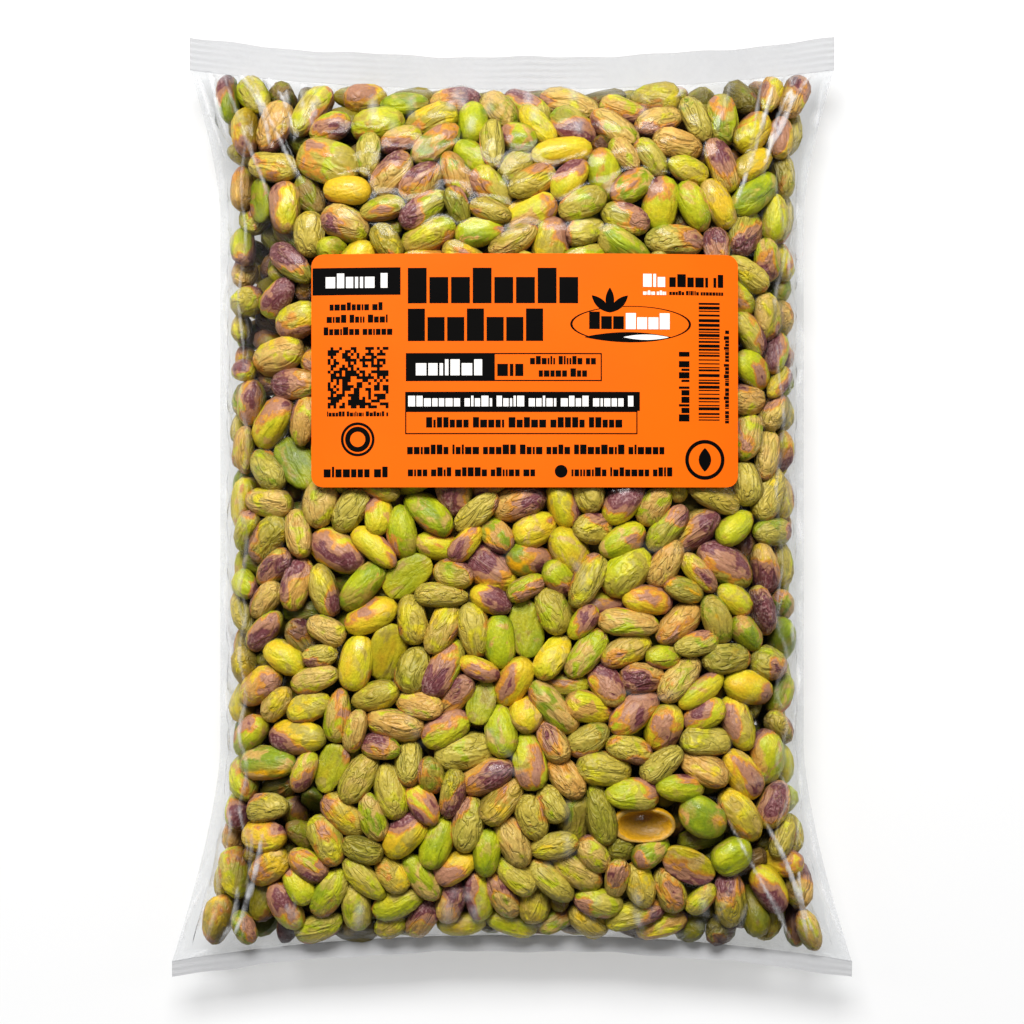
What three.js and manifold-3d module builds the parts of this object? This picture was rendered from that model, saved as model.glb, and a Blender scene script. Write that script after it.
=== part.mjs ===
// A sealed clear pillow bag filled with shelled pistachio kernels, lying on its back.
// One film tube is welded flat across its two ends, and a printed label is stuck to its front.
// Millimetres, +Z up. The origin is under the middle of the bag, on the surface it lies on;
// +Y runs towards the top seal and +Z out of the labelled front.
import * as THREE from "three";
import { mergeVertices } from "three/addons/utils/BufferGeometryUtils.js";
import Module from "manifold-3d";

// Driving dimensions.
const BAG_LENGTH = 292; // corner to corner along Y, seals included
const TOP_SEAL_WIDTH = 200;
const WAIST_WIDTH = 181; // where the filling has drawn the sides in
const BOTTOM_SEAL_WIDTH = 211;
const BAG_THICKNESS = 44;
const FOLD_HEIGHT = 18; // the side folds and both seals stand this far above the surface
const TOP_SEAL_HEIGHT = 10;
const BOTTOM_SEAL_HEIGHT = 5;
const TOP_SEAL_DIP = 6; // how far the filling pulls the middle of a seal inwards
const BOTTOM_SEAL_DIP = 8;
const FILM = 0.4; // wall of the film tube
const SEAL_PLATE = 0.8; // two films welded together
const GAP = 0.35; // clearance between touching pieces
const LABEL = { width: 128.5, height: 70, corner: 3.5, thick: 0.3, x: 3.9, y: 41 };

// The filled shape.
const ROUNDNESS = 2.6; // exponent of the superellipse cross-section
const BOTTOM_RAMP = 62; // distance over which the thickness grows from the bottom seal
const TOP_RAMP = 55;
const BOTTOM_FLARE = 62; // distance over which the width shrinks from the bottom seal
const TOP_FLARE = 42;
const LIP = 0.9; // half-thickness of the tube's flattened ends
const BACK_PRESS = 6; // how far the back would bulge below the surface if nothing pressed it flat
const FRONT_RISE = BAG_THICKNESS - FOLD_HEIGHT;
const BACK_SAG = FOLD_HEIGHT + BACK_PRESS;
const FILL_INSET = 1.5; // contents to outer film

// Mesh steps.
const AROUND = 48;
const ROWS = 26;
const FILL_SKIP = 1; // rings that the contents leave free at each end
const LABEL_COLUMNS = 22;
const LABEL_ROWS = 12;
const SEAL_STEPS = 24;

const bow = (x, halfWidth) => 1 - Math.min(1, Math.abs(x / halfWidth)) ** 2.2;
const topLine = (x) =>
  BAG_LENGTH / 2 - TOP_SEAL_HEIGHT - TOP_SEAL_DIP * bow(x, TOP_SEAL_WIDTH / 2);
const bottomLine = (x) =>
  -BAG_LENGTH / 2 + BOTTOM_SEAL_HEIGHT + BOTTOM_SEAL_DIP * bow(x, BOTTOM_SEAL_WIDTH / 2);

// 0 at a seal, rising like a quarter ellipse to 1 at the end of the ramp.
const ramp = (distance, length) =>
  Math.sqrt(1 - (1 - THREE.MathUtils.clamp(distance / length, 0, 1)) ** 2);

// 1 at a seal, easing to 0 at the end of the flare.
const flare = (distance, length) => THREE.MathUtils.clamp(1 - distance / length, 0, 1) ** 1.5;

// Distances to the two seal lines at a share v of the way from bottom to top.
function sealDistances(v) {
  const length = topLine(0) - bottomLine(0);
  return { fromBottom: v * length, fromTop: (1 - v) * length };
}

function halfWidth(v) {
  const { fromBottom, fromTop } = sealDistances(v);
  const waist = WAIST_WIDTH / 2;
  return (
    waist +
    (BOTTOM_SEAL_WIDTH / 2 - waist) * flare(fromBottom, BOTTOM_FLARE) +
    (TOP_SEAL_WIDTH / 2 - waist) * flare(fromTop, TOP_FLARE)
  );
}

function plumpness(v) {
  const { fromBottom, fromTop } = sealDistances(v);
  return ramp(fromBottom, BOTTOM_RAMP) * ramp(fromTop, TOP_RAMP);
}

const rise = (v, most) => LIP + (most - LIP) * plumpness(v);

// A point of the cross-section, inset from the outer film, at an angle from the +X fold.
function sectionPoint(angle, v, inset) {
  const power = 2 / ROUNDNESS;
  const across = Math.sign(Math.cos(angle)) * Math.abs(Math.cos(angle)) ** power;
  const up = Math.sign(Math.sin(angle)) * Math.abs(Math.sin(angle)) ** power;
  const x = (halfWidth(v) - inset) * across;
  const most = up > 0 ? FRONT_RISE : BACK_SAG;
  const z = FOLD_HEIGHT + (rise(v, most) - inset) * up;
  const y = THREE.MathUtils.lerp(bottomLine(x), topLine(x), v);
  return new THREE.Vector3(x, y, Math.max(inset, z));
}

// Height of the outer film's front at (x, y).
function frontHeight(x, y) {
  const v = (y - bottomLine(x)) / (topLine(x) - bottomLine(x));
  const across = Math.min(1, Math.abs(x / halfWidth(v)));
  return FOLD_HEIGHT + rise(v, FRONT_RISE) * (1 - across ** ROUNDNESS) ** (1 / ROUNDNESS);
}

// Rings from one end to the other, closer together near the ends, where some can be left out.
function rings(inset, skipped = 0) {
  return Array.from({ length: ROWS + 1 - 2 * skipped }, (_, i) => {
    const v = (1 - Math.cos((Math.PI * (i + skipped)) / ROWS)) / 2;
    return Array.from({ length: AROUND }, (_, j) =>
      sectionPoint((2 * Math.PI * j) / AROUND, v, inset),
    );
  });
}

// Collects triangles from rings of points.
class Skin {
  constructor() {
    this.points = [];
    this.faces = [];
  }

  addRings(list) {
    return list.map((ring) => ring.map((point) => this.points.push(point) - 1));
  }

  // A band between two rings of indices; flipped turns its faces round.
  band(lower, upper, flipped = false) {
    lower.forEach((a, i) => {
      const next = (i + 1) % lower.length;
      const quad = [a, lower[next], upper[next], upper[i]];
      if (flipped) quad.reverse();
      this.faces.push(quad[0], quad[1], quad[2], quad[0], quad[2], quad[3]);
    });
  }

  // Closes a ring by joining its front half to its back half, from one fold to the other.
  cap(ring, flipped = false) {
    const count = ring.length;
    for (let i = 0; i < count / 2; i += 1) {
      const quad = [ring[i], ring[i + 1], ring[count - 1 - i], ring[(count - i) % count]];
      const corners = [...new Set(quad)];
      if (flipped) corners.reverse();
      this.faces.push(...corners.slice(0, 3));
      if (corners.length === 4) this.faces.push(corners[0], corners[2], corners[3]);
    }
  }

  geometry() {
    const positions = this.points.flatMap((point) => point.toArray());
    return new THREE.BufferGeometry()
      .setAttribute("position", new THREE.Float32BufferAttribute(positions, 3))
      .setIndex(this.faces);
  }
}

// The film tube: an outer and an inner skin, open at both flattened ends.
// Rings run anticlockwise seen from -Y, so a band from bottom to top faces inwards.
function filmTube() {
  const skin = new Skin();
  const outer = skin.addRings(rings(0));
  const inner = skin.addRings(rings(FILM));
  for (let row = 0; row < ROWS; row += 1) {
    skin.band(outer[row], outer[row + 1], true);
    skin.band(inner[row], inner[row + 1]);
  }
  skin.band(inner[0], outer[0], true);
  skin.band(outer[ROWS], inner[ROWS], true);
  return skin.geometry();
}

// The contents as one plain closed body, clear of the film all round.
function kernelFill() {
  const skin = new Skin();
  const layers = skin.addRings(rings(FILL_INSET, FILL_SKIP));
  layers.slice(1).forEach((layer, i) => skin.band(layers[i], layer, true));
  skin.cap(layers[0]);
  skin.cap(layers.at(-1), true);
  return skin.geometry();
}

// A welded strip between its seal line and the bag's cut edge.
function sealStrip(line, width, height, outward) {
  const half = width / 2;
  const stations = Array.from(
    { length: SEAL_STEPS + 1 },
    (_, i) => -half + (width * i) / SEAL_STEPS,
  );
  const edge = (offset) => stations.map((x) => new THREE.Vector2(x, line(x) + outward * offset));
  const shape = new THREE.Shape([...edge(GAP), ...edge(height).reverse()]);
  const geometry = new THREE.ExtrudeGeometry(shape, { depth: SEAL_PLATE, bevelEnabled: false });
  return geometry.translate(0, 0, FOLD_HEIGHT - SEAL_PLATE / 2);
}

const wasm = await Module();
wasm.setup();

function toSolid(geometry) {
  const bare = geometry.clone();
  bare.deleteAttribute("normal");
  bare.deleteAttribute("uv");
  const merged = mergeVertices(bare, 1e-3);
  return new wasm.Manifold(
    new wasm.Mesh({
      numProp: 3,
      vertProperties: merged.attributes.position.array,
      triVerts: new Uint32Array(merged.index.array),
    }),
  );
}

function toGeometry(solid) {
  const mesh = solid.getMesh();
  const positions = new Float32Array(mesh.numVert * 3);
  for (let i = 0; i < mesh.numVert; i += 1) {
    const start = i * mesh.numProp;
    positions.set(mesh.vertProperties.subarray(start, start + 3), i * 3);
  }
  return new THREE.BufferGeometry()
    .setAttribute("position", new THREE.BufferAttribute(positions, 3))
    .setIndex(new THREE.BufferAttribute(mesh.triVerts, 1));
}

// A plate bent over the front of the bag, cut to a rectangle with round corners.
function labelSheet() {
  const { width, height, corner, thick, x, y } = LABEL;
  const margin = 2;
  const plate = new THREE.BoxGeometry(
    width + margin, height + margin, thick, LABEL_COLUMNS, LABEL_ROWS, 1,
  );
  plate.translate(x, y, thick / 2);
  const spots = plate.attributes.position;
  for (let i = 0; i < spots.count; i += 1) {
    const lift = frontHeight(spots.getX(i), spots.getY(i)) + GAP;
    spots.setZ(i, spots.getZ(i) + lift);
  }
  const [left, low, right, high] = [-width / 2, -height / 2, width / 2, height / 2];
  const outline = new THREE.Shape()
    .moveTo(left + corner, low)
    .lineTo(right - corner, low)
    .absarc(right - corner, low + corner, corner, -Math.PI / 2, 0)
    .absarc(right - corner, high - corner, corner, 0, Math.PI / 2)
    .absarc(left + corner, high - corner, corner, Math.PI / 2, Math.PI)
    .absarc(left + corner, low + corner, corner, Math.PI, 1.5 * Math.PI);
  const cutter = new THREE.ExtrudeGeometry(outline, {
    depth: 2 * BAG_THICKNESS, bevelEnabled: false, curveSegments: 6,
  }).translate(x, y, 0);
  return toGeometry(toSolid(plate).intersect(toSolid(cutter)));
}

function piece(name, geometry, color, roughness, opacity = 1) {
  const material = new THREE.MeshStandardMaterial({
    color, roughness, metalness: 0, opacity, transparent: opacity < 1,
  });
  const mesh = new THREE.Mesh(geometry, material);
  mesh.name = name;
  return mesh;
}

const FILM_COLOUR = 0xe8eaec;
const bag = new THREE.Group();
bag.add(
  piece("film_tube", filmTube(), FILM_COLOUR, 0.12, 0.2),
  piece("top_seal", sealStrip(topLine, TOP_SEAL_WIDTH, TOP_SEAL_HEIGHT, 1), FILM_COLOUR, 0.2, 0.5),
  piece(
    "bottom_seal",
    sealStrip(bottomLine, BOTTOM_SEAL_WIDTH, BOTTOM_SEAL_HEIGHT, -1),
    FILM_COLOUR, 0.2, 0.5,
  ),
  piece("label", labelSheet(), 0xff7500, 0.45),
  piece("kernel_fill", kernelFill(), 0x9c9a3a, 0.6),
);

export default bag;
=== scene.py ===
"""A sealed clear pillow bag of shelled pistachio kernels, lying on its back in a white studio.

Shapes are worked out in millimetres in the frame's own axes: the origin is under the middle of
the bag, +Y runs towards the top seal and +Z out of the labelled front. They turn to metres only
when a mesh is made.
"""

import logging
import math
from dataclasses import dataclass
from enum import Enum

import bpy
import numpy as np
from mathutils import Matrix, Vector


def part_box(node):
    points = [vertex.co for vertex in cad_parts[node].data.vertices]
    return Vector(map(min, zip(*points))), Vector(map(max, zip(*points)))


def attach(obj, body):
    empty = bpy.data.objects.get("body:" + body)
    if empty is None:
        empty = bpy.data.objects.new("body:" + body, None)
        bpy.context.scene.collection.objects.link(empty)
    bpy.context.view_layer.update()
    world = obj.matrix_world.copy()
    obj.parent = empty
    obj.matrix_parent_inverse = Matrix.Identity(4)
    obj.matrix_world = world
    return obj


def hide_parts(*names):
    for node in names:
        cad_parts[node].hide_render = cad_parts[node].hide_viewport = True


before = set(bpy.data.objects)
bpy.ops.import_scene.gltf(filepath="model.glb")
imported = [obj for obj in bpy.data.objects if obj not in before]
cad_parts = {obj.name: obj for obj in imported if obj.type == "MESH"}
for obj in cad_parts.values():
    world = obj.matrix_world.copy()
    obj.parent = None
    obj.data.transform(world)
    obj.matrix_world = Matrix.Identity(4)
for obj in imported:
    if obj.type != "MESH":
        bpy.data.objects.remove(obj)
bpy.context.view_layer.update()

log = logging.getLogger("pistachio_bag")

MM = 0.001
Colour = tuple[float, float, float, float]


def srgb(red: int, green: int, blue: int) -> Colour:
    """Linear colour of a display colour.

    Args:
        red: Display red, 0 to 255.
        green: Display green, 0 to 255.
        blue: Display blue, 0 to 255.

    Returns:
        The linear colour with full alpha.
    """
    shares = np.array([red, green, blue]) / 255
    linear = np.where(shares <= 0.04045, shares / 12.92, ((shares + 0.055) / 1.055) ** 2.4)
    return (*linear.tolist(), 1.0)


def smooth_step(low: float, high: float, value: np.ndarray) -> np.ndarray:
    """0 below low and 1 above high, with an even S between: 3t^2 - 2t^3.

    Args:
        low: Where the S starts.
        high: Where the S ends.
        value: Values to map.

    Returns:
        The mapped values, 0 to 1.
    """
    t = np.clip((value - low) / (high - low), 0, 1)
    return t * t * (3 - 2 * t)


# ---------------------------------------------------------------- meshes


def make_object(
    name: str,
    points: np.ndarray,
    faces: list[np.ndarray],
    attributes: dict[str, np.ndarray] | None = None,
    flat: tuple[int, ...] = (),
) -> bpy.types.Object:
    """A smooth mesh object from arrays.

    Args:
        name: The piece's name.
        points: Vertices in millimetres, one row each.
        faces: Arrays of vertex numbers, each array with one corner count.
        attributes: Values per vertex by name, one number or three each.
        flat: Which of the face arrays are shaded flat, as the cut edges of a sheet are.

    Returns:
        The object, linked to the scene.
    """
    mesh = bpy.data.meshes.new(name)
    corners = np.concatenate([part.ravel() for part in faces])
    totals = np.concatenate([np.full(len(part), part.shape[1]) for part in faces])
    smooth = np.concatenate([np.full(len(part), i not in flat) for i, part in enumerate(faces)])
    mesh.vertices.add(len(points))
    mesh.vertices.foreach_set("co", (points * MM).astype(np.float32).ravel())
    mesh.loops.add(len(corners))
    mesh.loops.foreach_set("vertex_index", corners.astype(np.int32))
    mesh.polygons.add(len(totals))
    starts = np.concatenate([[0], np.cumsum(totals)[:-1]])
    mesh.polygons.foreach_set("loop_start", starts.astype(np.int32))
    mesh.polygons.foreach_set("use_smooth", smooth)
    mesh.update(calc_edges=True)
    for key, values in (attributes or {}).items():
        kind, slot = ("FLOAT", "value") if values.ndim == 1 else ("FLOAT_VECTOR", "vector")
        layer = mesh.attributes.new(key, kind, "POINT")
        layer.data.foreach_set(slot, values.astype(np.float32).ravel())
    mesh.validate()
    made = bpy.data.objects.new(name, mesh)
    bpy.context.scene.collection.objects.link(made)
    return made


def grid_faces(rows: int, columns: int) -> np.ndarray:
    """Quads of a grid of vertices stored row by row.

    Args:
        rows: Vertex rows.
        columns: Vertices in a row.

    Returns:
        Corner numbers, anticlockwise where columns run right and rows run up.
    """
    start = np.arange(rows - 1)[:, None] * columns + np.arange(columns - 1)[None, :]
    start = start.ravel()
    return np.stack([start, start + 1, start + columns + 1, start + columns], axis=1)


def wall_faces(rows: int, columns: int) -> list[np.ndarray]:
    """Faces of a thin closed wall whose front grid is stored first and its back grid second.

    Args:
        rows: Vertex rows of each grid.
        columns: Vertices in a row.

    Returns:
        The two sides' quads, then the rim's, which runs anticlockwise round the border.
    """
    size = rows * columns
    front = grid_faces(rows, columns)
    number = np.arange(size).reshape(rows, columns)
    border = np.concatenate(
        [number[0, :-1], number[:-1, -1], number[-1, :0:-1], number[:0:-1, 0]]
    )
    after = np.roll(border, -1)
    rim = np.stack([border, border + size, after + size, after], axis=1)
    return [np.concatenate([front, front[:, ::-1] + size]), rim]


def make_wall(
    name: str, front: np.ndarray, back: np.ndarray, attributes: dict[str, np.ndarray] | None = None
) -> bpy.types.Object:
    """A thin closed sheet between two grids of points.

    Args:
        name: The piece's name.
        front: The outer grid, rows by columns by x, y and z.
        back: The inner grid, alike.
        attributes: Values per point of one grid; both grids take them.

    Returns:
        The object, with its cut edges shaded flat.
    """
    points = np.concatenate([front.reshape(-1, 3), back.reshape(-1, 3)])
    both = {key: np.concatenate([value, value]) for key, value in (attributes or {}).items()}
    made = make_object(name, points, wall_faces(*front.shape[:2]), both, flat=(1,))
    made.data.set_sharp_from_angle(angle=math.radians(70))
    return made


# ---------------------------------------------------------------- material graphs


class Graph:
    """A material and a short way to write its nodes."""

    def __init__(self, name: str) -> None:
        """Starts an empty material."""
        self.material = bpy.data.materials.new(name)
        self.material.use_nodes = True
        self.tree = self.material.node_tree
        self.tree.nodes.clear()

    def node(self, kind: str, inputs: dict | None = None, **settings) -> bpy.types.Node:
        """One node.

        Args:
            kind: The node's type, without its ShaderNode prefix.
            inputs: Values or sockets by input name or number.
            **settings: The node's own properties.

        Returns:
            The node.
        """
        made = self.tree.nodes.new("ShaderNode" + kind)
        for key, value in settings.items():
            setattr(made, key, value)
        for key, value in (inputs or {}).items():
            self.put(made.inputs[key], value)
        return made

    def put(self, socket: bpy.types.NodeSocket, value) -> None:
        """Links a socket, or sets its own value.

        Args:
            socket: The input.
            value: Another node's output, or a plain value.
        """
        if isinstance(value, bpy.types.NodeSocket):
            self.tree.links.new(value, socket)
        else:
            socket.default_value = value

    def math(self, operation: str, first, second=0.0, clamp: bool = False):
        """A Math node's output for two operands."""
        made = self.node("Math", {0: first, 1: second}, operation=operation, use_clamp=clamp)
        return made.outputs[0]

    def vector(self, operation: str, first, second=(0.0, 0.0, 0.0)):
        """A Vector Math node's output for two operands."""
        made = self.node("VectorMath", {0: first, 1: second}, operation=operation)
        return made.outputs["Value" if operation == "DOT_PRODUCT" else "Vector"]

    def step(self, value, low: float, high: float):
        """An S from 0 at low to 1 at high; low may be the greater."""
        made = self.node(
            "MapRange",
            {"Value": value, "From Min": low, "From Max": high},
            interpolation_type="SMOOTHSTEP",
        )
        return made.outputs["Result"]

    def spread(self, noise, low: float, high: float):
        """Noise from 0.3 to 0.7 spread evenly over low to high."""
        made = self.node(
            "MapRange",
            {"Value": noise, "From Min": 0.3, "From Max": 0.7, "To Min": low, "To Max": high},
        )
        return made.outputs["Result"]

    def noise(self, vector, scale: float, detail: float = 2.0, distortion: float = 0.0):
        """Noise around 0.5 at a scale."""
        made = self.node(
            "TexNoise",
            {"Vector": vector, "Scale": scale, "Detail": detail, "Distortion": distortion},
        )
        return made.outputs["Fac"]

    def mix(self, factor, first, second, blend: str = "MIX"):
        """A mix of two colours."""
        made = self.node("Mix", data_type="RGBA", blend_type=blend)
        self.put(made.inputs[0], factor)
        self.put(made.inputs[6], first)
        self.put(made.inputs[7], second)
        return made.outputs[2]

    def ramp(self, value, stops: list[tuple[float, Colour]]):
        """A colour ramp's colour.

        Args:
            value: Where on the ramp, 0 to 1.
            stops: Places and colours in rising order.

        Returns:
            The colour output.
        """
        made = self.node("ValToRGB", {"Fac": value})
        elements = made.color_ramp.elements
        for index, (place, colour) in enumerate(stops):
            element = elements[index] if index < 2 else elements.new(place)
            element.position = place
            element.color = colour
        return made.outputs["Color"]

    def attribute(self, name: str):
        """A vertex attribute's node."""
        return self.node("Attribute", attribute_name=name)

    def finish(self, shader) -> bpy.types.Material:
        """Links a shader to the surface and returns the material."""
        self.node("OutputMaterial", {"Surface": shader})
        return self.material


# ---------------------------------------------------------------- the filled shape


@dataclass(frozen=True)
class BagShape:
    """The filled bag's surface: a superellipse section that swells between two flat seals."""

    length: float
    top_width: float
    bottom_width: float
    fold_height: float
    front_rise: float
    waist_width: float = 181.0
    top_seal_height: float = 10.0
    bottom_seal_height: float = 5.0
    top_dip: float = 6.0
    bottom_dip: float = 8.0
    roundness: float = 2.6
    bottom_ramp: float = 62.0
    top_ramp: float = 55.0
    bottom_flare: float = 62.0
    top_flare: float = 42.0
    lip: float = 0.9
    back_press: float = 6.0
    side_flange: float = 2.6
    corner_flange: float = 2.4

    @classmethod
    def from_frame(cls) -> "BagShape":
        """The shape with its outer sizes read from the frame."""
        top_low, top_high = (np.array(corner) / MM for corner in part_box("top_seal"))
        bottom_low, bottom_high = (np.array(corner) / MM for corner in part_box("bottom_seal"))
        tube_high = np.array(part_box("film_tube")[1]) / MM
        fold_height = (top_low[2] + top_high[2]) / 2
        return cls(
            length=top_high[1] - bottom_low[1],
            top_width=top_high[0] - top_low[0],
            bottom_width=bottom_high[0] - bottom_low[0],
            fold_height=fold_height,
            front_rise=tube_high[2] - fold_height,
        )

    @property
    def back_sag(self) -> float:
        """How far the back would bulge below the folds if nothing pressed it flat."""
        return self.fold_height + self.back_press

    @staticmethod
    def bow(x: np.ndarray, half: float) -> np.ndarray:
        """1 in the middle of a seal, falling as 1 - |x/half|^2.2 to 0 at its corners."""
        return 1 - np.minimum(1, np.abs(x / half)) ** 2.2

    def top_line(self, x: np.ndarray) -> np.ndarray:
        """Y of the top seal's inner edge at x."""
        edge = self.length / 2 - self.top_seal_height
        return edge - self.top_dip * self.bow(x, self.top_width / 2)

    def bottom_line(self, x: np.ndarray) -> np.ndarray:
        """Y of the bottom seal's inner edge at x."""
        edge = -self.length / 2 + self.bottom_seal_height
        return edge + self.bottom_dip * self.bow(x, self.bottom_width / 2)

    def share(self, x: np.ndarray, y: np.ndarray) -> np.ndarray:
        """How far (x, y) is from the bottom seal line to the top one, 0 to 1."""
        low = self.bottom_line(x)
        return np.clip((y - low) / (self.top_line(x) - low), 0, 1)

    def from_seals(self, v: np.ndarray) -> tuple[np.ndarray, np.ndarray]:
        """Distances to the bottom and top seal lines at a share v of the way up."""
        span = self.top_line(np.array(0.0)) - self.bottom_line(np.array(0.0))
        return v * span, (1 - v) * span

    def half_width(self, v: np.ndarray) -> np.ndarray:
        """Half the width: the waist plus a flare of power 1.5 towards each seal."""
        bottom, top = self.from_seals(v)
        waist = self.waist_width / 2
        low = np.clip(1 - bottom / self.bottom_flare, 0, 1) ** 1.5
        high = np.clip(1 - top / self.top_flare, 0, 1) ** 1.5
        return waist + (self.bottom_width / 2 - waist) * low + (self.top_width / 2 - waist) * high

    def flange(self, v: np.ndarray) -> np.ndarray:
        """Width of the empty film past the kernels at each side, wider towards the seals."""
        bottom, top = self.from_seals(v)
        low = np.clip(1 - bottom / self.bottom_flare, 0, 1)
        high = np.clip(1 - top / self.top_flare, 0, 1)
        return self.side_flange + self.corner_flange * (low + high)

    def rise(self, v: np.ndarray, most: float) -> np.ndarray:
        """Half-thickness: a quarter ellipse up from each seal's lip to the most it reaches."""
        bottom, top = self.from_seals(v)
        low = np.sqrt(1 - (1 - np.clip(bottom / self.bottom_ramp, 0, 1)) ** 2)
        high = np.sqrt(1 - (1 - np.clip(top / self.top_ramp, 0, 1)) ** 2)
        return self.lip + (most - self.lip) * low * high

    def section(self, angle: np.ndarray, v: np.ndarray) -> np.ndarray:
        """Points of the superellipse section round the kernels, flattened on the floor.

        Args:
            angle: Angle from the +X side, the front being 0 to pi.
            v: Share of the way from the bottom seal line to the top one.

        Returns:
            Points with x, y and z along the last axis.
        """
        power = 2 / self.roundness
        across = np.sign(np.cos(angle)) * np.abs(np.cos(angle)) ** power
        up = np.sign(np.sin(angle)) * np.abs(np.sin(angle)) ** power
        x = (self.half_width(v) - self.flange(v)) * across
        tall = np.where(up > 0, self.rise(v, self.front_rise), self.rise(v, self.back_sag))
        z = np.maximum(0, self.fold_height + tall * up)
        y = self.bottom_line(x) + (self.top_line(x) - self.bottom_line(x)) * v
        return np.stack([x, y, z], axis=-1)

    def front_height(self, x: np.ndarray, y: np.ndarray) -> np.ndarray:
        """Z of the outer film's front at (x, y)."""
        v = self.share(x, y)
        across = np.minimum(1, np.abs(x / self.half_width(v)))
        arch = (1 - across**self.roundness) ** (1 / self.roundness)
        return self.fold_height + self.rise(v, self.front_rise) * arch

    def level(self, points: np.ndarray) -> np.ndarray:
        """The section's implicit value: under 1 inside, 1 on the film, over 1 outside.

        Args:
            points: Points, x, y and z along the last axis.

        Returns:
            (|x/w|^n + |z/h|^n)^(1/n), with z counted from the folds.
        """
        v = self.share(points[..., 0], points[..., 1])
        z = points[..., 2] - self.fold_height
        tall = np.where(z > 0, self.rise(v, self.front_rise), self.rise(v, self.back_sag))
        wide = self.half_width(v) - self.flange(v)
        n = self.roundness
        return (np.abs(points[..., 0] / wide) ** n + np.abs(z / tall) ** n) ** (1 / n)


# ---------------------------------------------------------------- kernels


class Form(Enum):
    """What became of a kernel."""

    WHOLE = 0
    SPLIT = 1
    HOLLOW = 2


@dataclass(frozen=True)
class Feature:
    """One kernel that stands out on the front: where it lies, its size and how it looks."""

    x: float
    y: float
    heading: float
    length: float
    width: float
    form: Form
    hue: float
    skin: float
    wrinkle: float


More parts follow.
